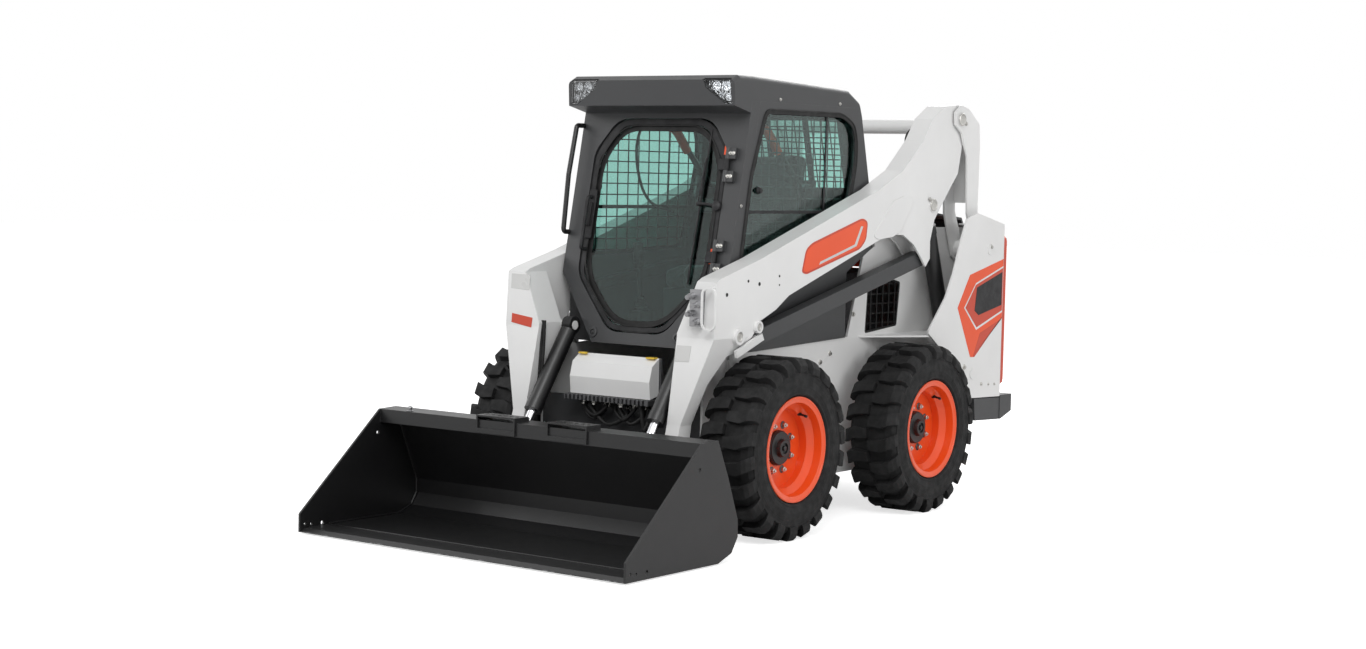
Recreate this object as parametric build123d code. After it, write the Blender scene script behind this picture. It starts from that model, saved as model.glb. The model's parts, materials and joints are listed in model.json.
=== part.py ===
from build123d import *
import os

# Skid steer loader. Millimetres. +Z up, the bucket faces -Y, +X is the machine's left side.
# The origin is on the floor under the middle of the machine's bounding box.

# ---------------------------------------------------------------- driving sizes
WHEELBASE = 1125.0
REAR_AXLE_Y = 735.0
AXLE_Z = 386.5            # tyre radius on the floor
TYRE_R = 386.5
TYRE_IN_X = 504.0         # inner side of the tyre
TYRE_W = 258.0
BEAD_R = 206.0
RIM_FLANGE_R = 222.0
RIM_WALL = 8.0
DISC_X = 640.0            # inner side of the wheel disc
DISC_T = 10.0
HUB_R = 74.0
HUB_CAP_T = 20.0
AXLE_R = 30.0
AXLE_HOUSING_R = 62.0
SEAT = 0.3                # gap between seated pieces
RUN = 0.05                # radial running clearance of every pin in its bore
SIDE_GAP = 5.0            # side clearance between moving pieces

FRAME_X = 440.0           # outer side of the main frame's side plates
PLATE = 12.0
FLOOR_Z = 185.0           # ground clearance
UPRIGHT_X = 640.0         # outer side of the rear uprights
PANEL = 8.0
REAR_Y = 1572.0           # rear face of the uprights
BUMPER_D = 117.0
BUMPER_Y = REAR_Y + BUMPER_D
BUMPER_Z = (362.0, 480.0)

CAB_X = 450.0
CAB_WALL = 34.0
ROOF_Z = 1950.0
CAB_LEAN = 0.2            # the cab's front leans back by this much per unit of height
CAB_FRONT_Z = 1092.0
CAB_FRONT_Y = -494.0      # the cab's front face at CAB_FRONT_Z
DOOR_W = 365.0            # half width of the door
DOOR_T = 26.0
DOOR_BOTTOM_Z = 838.0
DOOR_TOP_Z = 1770.0
DOOR_GAP = 8.0            # all round, between the door and its opening

ARM_IN_X = 464.0
ARM_OUT_X = 563.0
ARM_PLATE = 10.0
KNEE_IN_X = 373.0
KNEE_OUT_X = 563.0
LEG_IN_X = 384.0
LEG_OUT_X = 452.0

# pins of the lift and tilt linkages: (y, z) of each pivot, and pin radius
LINK_BASE = (1432.0, 1195.0)       # rear link on the upright
LINK_TOP = (1215.0, 1817.0)        # rear link on the arm
CONTROL_REAR = (950.0, 1158.0)     # control link on the arm
CONTROL_FRONT = (-420.0, 837.0)    # control link on the frame
LIFT_BASE = (1290.0, 600.0)        # lift cylinder on the upright
LIFT_TOP = (1000.0, 1410.0)        # lift cylinder on the arm
TILT_BASE = (-575.0, 857.0)        # tilt cylinder on the arm
TILT_TOP = (-925.0, 352.0)         # tilt cylinder on the quick coupler
HINGE = (-840.0, 188.0)            # quick coupler on the arm
PIN_R = 25.0
SMALL_PIN_R = 20.0
HEAD_T = 10.0

LINK_PLATE = 10.0
LINK_IN_X = 446.0
LINK_OUT_X = 571.0
CONTROL_X = 513.5
CONTROL_T = 58.0
CONTROL_H = 66.0
LIFT_BARREL_R = 39.0
LIFT_ROD_R = 22.0
LIFT_ROD_SHOWS = 106.0    # from the barrel's mouth to the rod's pin, arms down
TILT_X = 332.0
TILT_BARREL_R = 36.0
TILT_ROD_R = 19.0
TILT_ROD_SHOWS = 176.0    # the same for the tilt rod, bucket level
EYE_R = 38.0
ROD_EYE_R = 32.0
EYE_T = 46.0

BUCKET_X = 863.5
BUCKET_T = 10.0
EDGE_Y = -1689.0
EDGE_Z = 8.0
BUCKET_TOP_Z = 495.0

PARTS = {}


# ---------------------------------------------------------------- helpers
def plate_x(outline, x_low, x_high, corner=0.0):
    """A plate across X: an outline of (y, z) points, with its corners rounded."""
    face = make_face(Polyline(*outline, close=True))
    if corner:
        face = fillet(face.vertices(), corner)
    return extrude(Plane.YZ.offset(x_low) * face, amount=x_high - x_low, dir=(1, 0, 0))


def bar_x(centre, radius, x_low, x_high):
    """A round bar across X at centre (y, z)."""
    face = Plane.YZ.offset(x_low) * Pos(centre[0], centre[1]) * Circle(radius)
    return extrude(face, amount=x_high - x_low, dir=(1, 0, 0))


def block(x, y, z):
    """A box from its low and high corner along each axis."""
    size = (x[1] - x[0], y[1] - y[0], z[1] - z[0])
    middle = ((x[0] + x[1]) / 2, (y[0] + y[1]) / 2, (z[0] + z[1]) / 2)
    return Pos(*middle) * Box(*size)


def rod_between(start, end, radius):
    """A round rod between two points in space."""
    line = Vector(*end) - Vector(*start)
    return extrude(Plane(origin=start, z_dir=line) * Circle(radius), amount=line.length)


def along(start, end, distance):
    """The (y, z) point at a distance from start towards end."""
    line = Vector(*end) - Vector(*start)
    point = Vector(*start) + line.normalized() * distance
    return (point.X, point.Y)


def gap_between(start, end):
    return (Vector(*end) - Vector(*start)).length


def tube(points, radius, bend):
    """A round tube along straight runs with rounded bends."""
    path = FilletPolyline(*points, radius=bend)
    section = Plane(origin=path @ 0, z_dir=path % 0) * Circle(radius)
    return sweep(section, path=path)


def mirrored(shape):
    return mirror(shape, about=Plane.YZ)


def pair(shape):
    """A left-hand shape and its right-hand twin, as separate solids."""
    return Compound(children=[*shape.solids(), *mirrored(shape).solids()])


def save(name, shape):
    PARTS[name] = shape


def cab_front_y(z):
    return CAB_FRONT_Y + CAB_LEAN * (z - CAB_FRONT_Z)


# ---------------------------------------------------------------- wheels
FRONT_AXLE_Y = REAR_AXLE_Y - WHEELBASE
TYRE_OUT_X = TYRE_IN_X + TYRE_W
RIM_IN_X = TYRE_IN_X + 13.0
RIM_OUT_X = TYRE_OUT_X - 13.0
HUB_FACE_X = DISC_X
HOUSING_END_X = 565.0


def turned(profile):
    """A ring turned about the X axis from (x, radius) points."""
    face = make_face(Polyline(*profile, close=True))
    return revolve(face, axis=Axis.X)


LUG_COUNT = 22            # on each side of the tread
LUG_H = 23.0
LUG_W = 55.0
LUG_LEAN = 24.0           # how far a lug's outer end leans round the tyre
TYRE_MID_X = TYRE_IN_X + TYRE_W / 2


def make_lug():
    """One lug of the outer row, standing on the crown over the axle: its section, cut to its plan."""
    crown = TYRE_R - LUG_H - 8.0
    outer = TYRE_W / 2
    section = [
        (3.0, crown), (3.0, TYRE_R + 5.0), (outer - 36.0, TYRE_R + 5.0), (outer - 12.0, TYRE_R - 12.0),
        (outer, TYRE_R - 34.0), (outer, TYRE_R - 62.0), (outer - 12.0, TYRE_R - 66.0),
        (outer - 34.0, crown),
    ]
    face = make_face(Polyline(*section, close=True))
    bar = extrude(Plane.XZ.offset(-LUG_W - LUG_LEAN) * face, amount=2 * (LUG_W + LUG_LEAN),
                  dir=(0, -1, 0))
    bend = 0.55 * outer
    half = LUG_W / 2
    plan = [
        (0.0, -half + 6.0), (bend, -half), (outer + 1.0, -half + LUG_LEAN),
        (outer + 1.0, half + LUG_LEAN), (bend, half), (0.0, half - 6.0),
    ]
    column = extrude(Pos(0, 0, crown - 60.0) * make_face(Polyline(*plan, close=True)),
                     amount=LUG_H + 120.0)
    return bar & column & bar_x((0.0, 0.0), TYRE_R, 0.0, outer + 1.0)


def make_tyre():
    """A carcass turned about the axle, with two rows of lugs half a pitch apart."""
    crown = TYRE_R - LUG_H
    outer = TYRE_W / 2
    bead = RIM_OUT_X - TYRE_MID_X - 10.3
    half = [
        (bead, BEAD_R + SEAT), (bead, RIM_FLANGE_R + 1.0), (outer - 8.0, RIM_FLANGE_R + 10.0),
        (outer - 1.0, RIM_FLANGE_R + 45.0), (outer - 6.0, TYRE_R - 66.0),
        (outer - 22.0, TYRE_R - 40.0), (outer - 48.0, crown - 4.0), (0.0, crown),
    ]
    tyre = turned(half + [(-x, r) for x, r in reversed(half[:-1])])
    lug = make_lug()
    pitch = 360.0 / LUG_COUNT
    lugs = []
    for row, first in ((lug, 180.0), (Rot(0, 0, 180) * lug, 180.0 + pitch / 2)):
        for i in range(LUG_COUNT):
            lugs.append(Rot(first + pitch * i, 0, 0) * row)
    return Pos(TYRE_MID_X, 0, 0) * (tyre + lugs)


def make_rim():
    well_r = 178.0
    outer = [
        (RIM_IN_X, RIM_FLANGE_R), (RIM_IN_X + 8.0, RIM_FLANGE_R), (RIM_IN_X + 10.0, BEAD_R),
        (RIM_IN_X + 42.0, BEAD_R - 4.0), (RIM_IN_X + 66.0, well_r), (RIM_OUT_X - 66.0, well_r),
        (RIM_OUT_X - 42.0, BEAD_R - 4.0), (RIM_OUT_X - 10.0, BEAD_R),
        (RIM_OUT_X - 8.0, RIM_FLANGE_R), (RIM_OUT_X, RIM_FLANGE_R),
    ]
    inner = [
        (RIM_OUT_X, RIM_FLANGE_R - RIM_WALL), (RIM_OUT_X - 4.0, BEAD_R - RIM_WALL),
        (RIM_OUT_X - 40.0, BEAD_R - 4.0 - RIM_WALL), (RIM_OUT_X - 64.0, well_r - RIM_WALL),
        (DISC_X + DISC_T, well_r - RIM_WALL), (DISC_X + DISC_T, HUB_R + 1.0),
        (DISC_X, HUB_R + 1.0), (DISC_X, well_r - RIM_WALL),
        (RIM_IN_X + 64.0, well_r - RIM_WALL), (RIM_IN_X + 40.0, BEAD_R - 4.0 - RIM_WALL),
        (RIM_IN_X + 4.0, BEAD_R - RIM_WALL), (RIM_IN_X, RIM_FLANGE_R - RIM_WALL),
    ]
    return turned(outer + inner)


def make_hub():
    """Flange behind the disc, round cap through it, and the shaft in the frame's housing."""
    profile = [
        (FRAME_X + 20.0, 0.0), (FRAME_X + 20.0, AXLE_R), (HOUSING_END_X + SIDE_GAP, AXLE_R),
        (HOUSING_END_X + SIDE_GAP, AXLE_HOUSING_R), (HUB_FACE_X - 26.0, AXLE_HOUSING_R),
        (HUB_FACE_X - 26.0, 118.0), (HUB_FACE_X, 118.0), (HUB_FACE_X, HUB_R),
        (DISC_X + DISC_T + HUB_CAP_T - 6.0, HUB_R), (DISC_X + DISC_T + HUB_CAP_T, HUB_R - 6.0),
        (DISC_X + DISC_T + HUB_CAP_T, 0.0),
    ]
    return turned(profile)


def make_wheels():
    tyre = make_tyre()
    rim = make_rim()
    hub = make_hub()
    corners = [
        ("front_left", FRONT_AXLE_Y, False), ("front_right", FRONT_AXLE_Y, True),
        ("rear_left", REAR_AXLE_Y, False), ("rear_right", REAR_AXLE_Y, True),
    ]
    for name, axle_y, right in corners:
        for piece, shape in (("tyre", tyre), ("rim", rim), ("hub", hub)):
            placed = mirrored(shape) if right else shape
            save(f"{name}_{piece}", Pos(0, axle_y, AXLE_Z) * placed)


# ---------------------------------------------------------------- frame
DECK_FRONT = (-270.0, 775.0)       # the side plates' top edge under the cab, as (y, z)
DECK_REAR = (475.0, 804.0)
DECK_Z = 1300.0           # top of the side plates round the engine
GRILLE = [(622.0, 812.0), (907.0, 838.0), (930.0, 1044.0), (797.0, 1072.0), (640.0, 1052.0)]
FRAME_SIDE = [
    (-560.0, FLOOR_Z), (-640.0, 330.0), (-640.0, 700.0), (-560.0, 758.0),
    DECK_FRONT, DECK_REAR, (595.0, 1175.0), (690.0, 1215.0), (690.0, DECK_Z),
    (REAR_Y - 40.0, DECK_Z), (REAR_Y - 40.0, BUMPER_Z[0]), (1380.0, FLOOR_Z + 30.0),
    (1250.0, FLOOR_Z),
]
INNER_X = FRAME_X - PLATE


def deck_z(y):
    """Height of the side plates' top edge under the cab."""
    slope = (DECK_REAR[1] - DECK_FRONT[1]) / (DECK_REAR[0] - DECK_FRONT[0])
    return DECK_FRONT[1] + slope * (y - DECK_FRONT[0])


FRONT_PLATE_Y = -640.0


def make_frame_sides():
    """Side plates with the axle housings, the control link's bracket and the side grille's hole."""
    side = plate_x(FRAME_SIDE, INNER_X, FRAME_X)
    side -= plate_x(GRILLE, INNER_X - 1, FRAME_X + 1, corner=12.0)
    for axle_y in (FRONT_AXLE_Y, REAR_AXLE_Y):
        side += bar_x((axle_y, AXLE_Z), AXLE_HOUSING_R, FRAME_X, HOUSING_END_X)
        side -= bar_x((axle_y, AXLE_Z), AXLE_R + RUN, INNER_X - 1, HOUSING_END_X + 1)
    bracket_in = CAB_X + 2.5
    bracket_out = CONTROL_X - CONTROL_T / 2 - SIDE_GAP - 5.0
    foot = [(-490.0, 640.0), (-350.0, 640.0), (-380.0, 837.0), (-460.0, 837.0)]
    side += plate_x(foot, bracket_in, bracket_out)
    side += bar_x(CONTROL_FRONT, 40.0, bracket_in, bracket_out)
    side += block((FRAME_X, bracket_in), (-480.0, -360.0), (640.0, 750.0))
    side += bar_x(CONTROL_FRONT, SMALL_PIN_R, bracket_out, CONTROL_X + CONTROL_T / 2)
    for pivot in (LINK_BASE, LIFT_BASE):
        side -= bar_x(pivot, PIN_R, INNER_X - 1, FRAME_X + 1)
    save("frame_sides", pair(side))


def make_side_grilles():
    """A wire mesh in each side plate's hole."""
    face = make_face(Polyline(*GRILLE, close=True))
    face = fillet(face.vertices(), 12.0)
    outer = offset(face, -SEAT)
    rim = outer - offset(face, -9.0)
    rim_x = FRAME_X - 9.0
    mesh = extrude(Plane.YZ.offset(rim_x) * rim, amount=7.0, dir=(1, 0, 0))
    window = extrude(Plane.YZ.offset(rim_x) * outer, amount=7.0, dir=(1, 0, 0))
    for i in range(1, 6):
        y = GRILLE[0][0] + i * 53.0
        mesh += block((rim_x + 3.0, rim_x + 7.0), (y - 2.5, y + 2.5), (790.0, 1090.0)) & window
        z = GRILLE[0][1] + i * 45.0
        mesh += block((rim_x, rim_x + 3.5), (600.0, 950.0), (z - 2.5, z + 2.5)) & window
    save("side_grilles", pair(mesh))


def make_frame_floor():
    """Belly plate, sloped front plate and the bulkhead behind the cab."""
    floor = block((-INNER_X, INNER_X), (-560.0, 1250.0), (FLOOR_Z, FLOOR_Z + PLATE))
    floor += plate_x([(-640.0, 330.0), (-560.0, FLOOR_Z), (-548.0, FLOOR_Z + PLATE),
                      (-628.0, 334.0), (-628.0, 560.0), (-640.0, 560.0)], -INNER_X, INNER_X)
    floor += block((-INNER_X, INNER_X), (560.0, 560.0 + PLATE), (FLOOR_Z, 760.0))
    save("frame_floor", floor)


UPRIGHT = [
    (1196.0, 1345.0), (1299.0, 1374.0), (REAR_Y, 1318.0), (REAR_Y, 474.0), (1176.0, 487.0),
    (1106.0, 643.0), (986.0, 734.0), (866.0, 812.0), (866.0, 829.0), (1014.0, 978.0),
    (1080.0, 1092.0), (1144.0, 1244.0),
]


UPRIGHTS = {}


def make_upright():
    """Left rear upright: outer panel, rear wall, fender over the tyre and the pin bosses."""
    inner = FRAME_X
    panel_x = UPRIGHT_X - PANEL
    upright = plate_x(UPRIGHT, panel_x, UPRIGHT_X)
    upright += block((inner, panel_x), (REAR_Y - PANEL, REAR_Y), (474.0, 1318.0))
    upright += block((inner, panel_x), (1470.0, REAR_Y), (1310.0, 1318.0))
    ledge = make_face(Polyline((inner, 568.0), (inner, 1150.0), (panel_x, 1150.0),
                               (panel_x, 866.0), close=True))
    upright += extrude(Pos(0, 0, 796.0) * ledge, amount=PANEL)
    for pivot in (LINK_BASE, LIFT_BASE):
        boss_in = LINK_OUT_X + LINK_PLATE + SIDE_GAP
        upright += bar_x(pivot, 44.0, boss_in, panel_x)
        upright += bar_x(pivot, PIN_R, INNER_X, UPRIGHT_X + 4.0)
    return upright


def make_uprights():
    UPRIGHTS["left"] = make_upright()
    UPRIGHTS["right"] = mirrored(UPRIGHTS["left"])


BUMPER_WING = [(1316.0, 478.0), (REAR_Y + 30.0, 466.0), (REAR_Y + 30.0, 380.0),
               (1560.0, 362.0), (1330.0, 371.0)]
TIE_X = 480.0             # tie-down holes in the bumper's rear wall
TIE_Z = 436.0
TIE_R = 22.0
TAILGATE_X = 630.0
TAILGATE_Z = (520.0, 1270.0)
TAILGATE_T = 46.0
LOUVRES = 9
LOUVRE_X = 250.0
LOUVRE_Z = (670.0, 1090.0)
GATE_HINGE = (646.0, REAR_Y + TAILGATE_T)
GATE_HINGES = (700.0, 1080.0)
GRILLE_HINGE = (1124.0, 1398.0)
GRILLE_HINGES = (-300.0, 300.0)
COVER_X = FRAME_X - 6.0
LID_X = 416.0
COOLER_Y = (1160.0, 1520.0)
SLOTS = 10


def make_rear():
    bumper = block((-643.0, 643.0), (REAR_Y, BUMPER_Y), BUMPER_Z)
    bumper -= block((-560.0, 560.0), (REAR_Y + 14.0, BUMPER_Y - 14.0), (BUMPER_Z[0] - 1, 466.0))
    bumper -= plate_x([(BUMPER_Y + 1, BUMPER_Z[0] - 1), (REAR_Y + 5.0, BUMPER_Z[0] - 1),
                       (BUMPER_Y + 1, BUMPER_Z[0] + 35.0)], -700.0, 700.0)
    wing = plate_x(BUMPER_WING, UPRIGHT_X - PLATE, UPRIGHT_X)
    bumper += [wing, mirrored(wing)]
    for x in (-TIE_X, TIE_X):
        hole = Plane(origin=(x, BUMPER_Y + 1.0, TIE_Z), z_dir=(0, -1, 0)) * Circle(TIE_R)
        bumper -= extrude(hole, amount=40.0)
    save("rear_bumper", bumper)
    gate_y = (REAR_Y + SIDE_GAP, REAR_Y + TAILGATE_T)
    gate = block((-TAILGATE_X, TAILGATE_X), gate_y, TAILGATE_Z)
    gate = fillet(gate.edges().filter_by(Axis.Y), 40.0)
    gate -= block((-LOUVRE_X - 30.0, LOUVRE_X + 30.0), (gate_y[1] - 14.0, gate_y[1] + 1.0),
                  (LOUVRE_Z[0] - 30.0, LOUVRE_Z[1] + 30.0))
    gate -= block((-LOUVRE_X, LOUVRE_X), (gate_y[0] - 1.0, gate_y[0] + 18.0), LOUVRE_Z)
    pitch = (LOUVRE_Z[1] - LOUVRE_Z[0]) / LOUVRES
    for i in range(LOUVRES):
        z = LOUVRE_Z[0] + pitch * i
        gate -= block((-LOUVRE_X, LOUVRE_X), gate_y, (z + 0.3 * pitch, z + 0.7 * pitch))
    straps = Part()
    for z in GATE_HINGES:
        straps += block((600.0, GATE_HINGE[0] - 4.0), (gate_y[1] - 6.0, gate_y[1] + 2.0),
                        (z - 24.0, z + 24.0))
    fixed, moving = make_hinges(Plane(origin=(*GATE_HINGE, 0)), GATE_HINGES, gate + straps)
    for z in GATE_HINGES:
        for low, high in ((-75.0, -25.0), (25.0, 75.0)):
            fixed += block((UPRIGHT_X - 2.0, UPRIGHT_X + 12.0), (REAR_Y - 50.0, REAR_Y),
                           (z + low, z + high))
            fixed += block((UPRIGHT_X, UPRIGHT_X + 12.0), (REAR_Y, GATE_HINGE[1]),
                           (z + low, z + high))
    left, right = UPRIGHTS["left"], UPRIGHTS["right"] + mirrored(fixed)
    save("uprights", Compound(children=[*left.solids(), *right.solids()]))
    save("tailgate", mirrored(moving))


def make_hinges(plane, heights, leaf, pin_r=6.0, knuckle_r=11.0, half=24.0, end=50.0):
    """Knuckles and pins round a plane's normal: what stays, and what turns with the leaf."""
    fixed = []
    moving = [leaf]
    bores = []
    for height in heights:
        low = plane.offset(height)
        moving.append(extrude(low * Circle(knuckle_r), amount=half, both=True))
        bores.append(extrude(low * Circle(pin_r + RUN), amount=half + 1, both=True))
        fixed.append(extrude(low * Circle(pin_r), amount=half + end, both=True))
        for side in (-1, 1):
            middle = plane.offset(height + side * (half + 1.0 + end / 2))
            fixed.append(extrude(middle * Circle(knuckle_r), amount=end / 2, both=True))
    return Part() + fixed, (Part() + moving) - bores


def make_covers():
    """Fixed engine cover behind the cab, and the hinged rear grille."""
    cover = plate_x([(690.0, DECK_Z + SEAT), (1110.0, DECK_Z + SEAT), (1110.0, 1385.0),
                     (720.0, 1420.0), (690.0, 1400.0)], -COVER_X, COVER_X)
    cover -= plate_x([(702.0, DECK_Z), (1098.0, DECK_Z), (1098.0, 1374.0), (720.0, 1407.0),
                      (702.0, 1393.0)], -COVER_X + PLATE, COVER_X - PLATE)
    grille = plate_x([(1130.0, 1384.0), (1540.0, 1345.0), (REAR_Y, 1300.0), (REAR_Y, 1288.0),
                      (1560.0, 1288.0), (1533.0, 1333.0), (1130.0, 1372.0)], -LID_X, LID_X)
    for i in range(SLOTS):
        for x in (-0.52 * LID_X, 0.52 * LID_X):
            y = 1180.0 + i * 330.0 / SLOTS
            grille -= block((x - 0.4 * LID_X, x + 0.4 * LID_X), (y, y + 14.0), (1300.0, 1400.0))
    plane = Plane(origin=(0, *GRILLE_HINGE), x_dir=(0, 1, 0), z_dir=(1, 0, 0))
    for x in GRILLE_HINGES:
        grille += block((x - 23.5, x + 23.5), (GRILLE_HINGE[0], 1150.0), (1378.0, 1396.0))
    fixed, moving = make_hinges(plane, GRILLE_HINGES, grille)
    for x in GRILLE_HINGES:
        for side in (-50.0, 50.0):
            fixed += block((x + side - 24.0, x + side + 24.0), (1096.0, GRILLE_HINGE[0]),
                           (1378.0, 1394.0))
    save("engine_cover", cover + fixed)
    save("rear_grille", moving)
    lamp = block((500.0, 590.0), (REAR_Y + SEAT, REAR_Y + 26.0), (1279.0, 1313.0))
    save("tail_lamps", pair(fillet(lamp.edges().filter_by(Axis.Y), 9.0)))
    save("engine_block", block((-250.0, 250.0), (760.0, 1370.0), (FLOOR_Z + PLATE, 1080.0)))
    side = FRAME_X - PLATE - SEAT
    cooler = block((-side, side), COOLER_Y, (1208.0, 1262.0))
    middle = sum(COOLER_Y) / 2
    cooler -= Pos(0, middle, 1208.0) * Cylinder(160.0, 56.0)
    for i in range(8):
        cooler -= block((-330.0 + 84.0 * i, -264.0 + 84.0 * i), (COOLER_Y[0] + 20.0, COOLER_Y[1] - 20.0),
                        (1252.0, 1263.0))
    save("cooler", cooler)


def make_front():
    panel = plate_x([(-652.0, 590.0), (-711.0, 576.0), (-718.0, 650.0), (-700.0, 715.0),
                     (-652.0, 748.0), (-640.0, 748.0), (-640.0, 590.0)], -216.0, 216.0)
    save("front_panel", panel)
    step = block((-228.0, 228.0), (-742.0, -640.0), (552.0, 574.0))
    step += block((-228.0, 228.0), (-652.0, -640.0), (540.0, 748.0)) - panel
    for i in range(20):
        x = -220.0 + 22.0 * i
        step -= block((x, x + 11.0), (-743.0, -730.0), (551.0, 575.0))
    save("front_step", step)


# ---------------------------------------------------------------- cab
BROW_Z = 1794.0           # underside of the roof's brow; it rises forward, over the open door
CAB_SIDE = [
    (cab_front_y(787.0), 787.0), (cab_front_y(BROW_Z), BROW_Z), (-472.0, BROW_Z + 26.0),
    (-478.0, 1930.0), (-440.0, ROOF_Z), (-326.0, ROOF_Z), (424.0, 1922.0), (505.0, 1880.0),
    (534.0, 1806.0), (613.0, 1491.0), (655.0, 1400.0), (655.0, 1210.0), (438.0, 1100.0),
    (438.0, deck_z(438.0) + SEAT), (DECK_FRONT[0], DECK_FRONT[1] + SEAT), (-400.0, 780.0),
]
SIDE_WINDOW = [
    (-413.0, 1150.0), (-343.0, 1534.0), (-240.0, 1810.0), (370.0, 1814.0), (470.0, 1770.0),
    (497.0, 1690.0), (494.0, 1582.0), (450.0, 1415.0), (380.0, 1180.0),
]
CAB_INSIDE = [
    (cab_front_y(820.0) + 30.0, 820.0), (cab_front_y(BROW_Z) + 30.0, BROW_Z), (-330.0, 1900.0),
    (424.0, 1884.0), (470.0, 1860.0), (500.0, 1795.0), (580.0, 1485.0), (615.0, 1390.0),
    (615.0, 1240.0), (400.0, 1130.0), (400.0, 820.0),
]


def door_outline(inset):
    """The door's outline as (x, height) points, inset all round."""
    side = DOOR_W - inset
    top = DOOR_TOP_Z - inset
    bottom = DOOR_BOTTOM_Z + inset
    return [
        (-150.0 + inset * 0.4, bottom), (150.0 - inset * 0.4, bottom), (side, 1080.0),
        (side, top - 150.0), (side - 110.0, top), (-side + 110.0, top), (-side, top - 150.0),
        (-side, 1080.0),
    ]


def front_plane():
    """A plane in the cab's leaning front face: local x is -X, local y runs up the face."""
    up = Vector(0, CAB_LEAN, 1)
    return Plane(origin=(0, cab_front_y(0.0), 0), x_dir=(1, 0, 0), z_dir=Vector(1, 0, 0).cross(up))


def on_front(outline, depth_from, depth_to, corner=0.0):
    """A slab in the cab's front face, from one depth behind the face to another."""
    stretch = (1 + CAB_LEAN ** 2) ** 0.5
    face = make_face(Polyline(*[(x, z * stretch) for x, z in outline], close=True))
    if corner:
        face = fillet(face.vertices(), corner)
    plane = front_plane()
    placed = plane.offset(-depth_from) * face
    back = plane.z_dir * -1
    return extrude(placed, amount=depth_to - depth_from, dir=back)


CAB_FLOOR_Z = 820.0
ROOF_SEAM_Z = 1845.0
ROOF_EDGE_R = 20.0
REAR_SEAM_Y = 398.0
PILLAR_DEPTH = 60.0
HEAD_LAMP = [(285.0, 1936.0), (428.0, 1936.0), (436.0, 1826.0), (400.0, 1826.0), (300.0, 1895.0)]
REAR_PANE = [(516.0, 1790.0), (522.0, 1790.0), (601.0, 1480.0), (595.0, 1480.0)]


def corner_wedge(inset):
    """The space cut off each lower front corner of the cab, where the lift arm's knee sits."""
    wedge = make_face(Polyline((169.0 - 1.24 * inset, 700.0), (520.0, 700.0),
                               (520.0, 1181.0 + 1.7 * inset), close=True))
    wedge = extrude(Plane.XZ.offset(440.0 - inset) * wedge, amount=400.0, dir=(0, -1, 0))
    return wedge + mirrored(wedge)


def lamp_shape(outline, y_low, y_high):
    lamp = extrude(Plane.XZ.offset(-y_high) * make_face(Polyline(*outline, close=True)),
                   amount=y_high - y_low, dir=(0, -1, 0))
    return lamp + mirrored(lamp)


def make_cab():
    shell = plate_x(CAB_SIDE, -CAB_X, CAB_X) - corner_wedge(0.0)
    shell -= plate_x(CAB_INSIDE, -CAB_X + CAB_WALL, CAB_X - CAB_WALL) - corner_wedge(CAB_WALL)
    shell -= plate_x(SIDE_WINDOW, -CAB_X - 1, CAB_X + 1, corner=20.0)
    shell -= on_front(door_outline(0.0), -60.0, 200.0, corner=DOOR_R)
    shell -= block((-330.0, 330.0), (450.0, 700.0), (1480.0, 1790.0))
    lamps = lamp_shape(HEAD_LAMP, -482.0, -440.0)
    everywhere = [(-900.0, 0.0), (900.0, 0.0), (900.0, 2100.0), (-900.0, 2100.0)]
    ahead = on_front(everywhere, -400.0, 0.0)
    slab = on_front(everywhere, 0.0, PILLAR_DEPTH)
    above = block((-900.0, 900.0), (-900.0, 900.0), (ROOF_SEAM_Z, 2100.0))
    core = block((-CAB_X + CAB_WALL, CAB_X - CAB_WALL), (-900.0, 900.0), (0.0, 2100.0))
    behind = block((-900.0, 900.0), (REAR_SEAM_Y, 900.0), (0.0, 2100.0))
    roof = (shell & (above + ahead)) - lamps
    rims = [e for e in roof.edges() if abs(abs(e.center().X) - CAB_X) < 1.0
            and e.center().Z > ROOF_Z - 50.0 and e.length > 2 * ROOF_EDGE_R]
    save("cab_roof", fillet(rims, ROOF_EDGE_R))
    shell -= above + ahead
    save("cab_front_frame", shell & slab)
    shell -= slab
    save("cab_sides", pair((shell - core) & block((0, 900.0), (-900.0, 900.0), (0.0, 2100.0))))
    shell = shell & core
    save("cab_rear_wall", shell & behind)
    save("cab_floor", shell - behind)
    save("head_lamps", lamps & plate_x(CAB_SIDE, -CAB_X, CAB_X))


def make_door():
    door = on_front(door_outline(DOOR_GAP), 4.0, 4.0 + DOOR_T, corner=DOOR_R - DOOR_GAP)
    door -= on_front(door_outline(GLASS_INSET), 0.0, 60.0, corner=DOOR_R - GLASS_INSET)
    door += tube([(-DOOR_W + 24.0, cab_front_y(z) + depth, z) for z, depth in
                  ((1190.0, 6.0), (1190.0, -34.0), (1420.0, -34.0), (1420.0, 6.0))], 9.0, 16.0)
    stays = Part()
    for height in DOOR_HINGES:
        for low, high in ((-74.0, -26.0), (26.0, 74.0)):
            stays += on_hinge(DOOR_HINGE_X, DOOR_HINGE_X + 40.0, height + low, height + high,
                              -18.0, 0.0)
        door += on_hinge(DOOR_W - 34.0, DOOR_HINGE_X, height - 23.0, height + 23.0, -20.0, -8.0)
        door += on_hinge(DOOR_W - 34.0, DOOR_W - 10.0, height - 23.0, height + 23.0, -9.0, 5.0)
    fixed, moving = make_hinges(door_hinge_plane(), DOOR_HINGES, door)
    save("door_frame", moving)
    PARTS["cab_front_frame"] = PARTS["cab_front_frame"] + fixed + stays
    edge = GLASS_INSET + SEAT
    save("door_glass", on_front(door_outline(edge), 14.0, 20.0, corner=DOOR_R - edge))


GLASS_INSET = 30.0
DOOR_R = 120.0            # rounding of the door opening's corners
DOOR_HINGE_X = DOOR_W + 8.0
DOOR_HINGE_DEPTH = 15.0
DOOR_HINGES = (1200.0, 1600.0)     # distances up the leaning face


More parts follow.
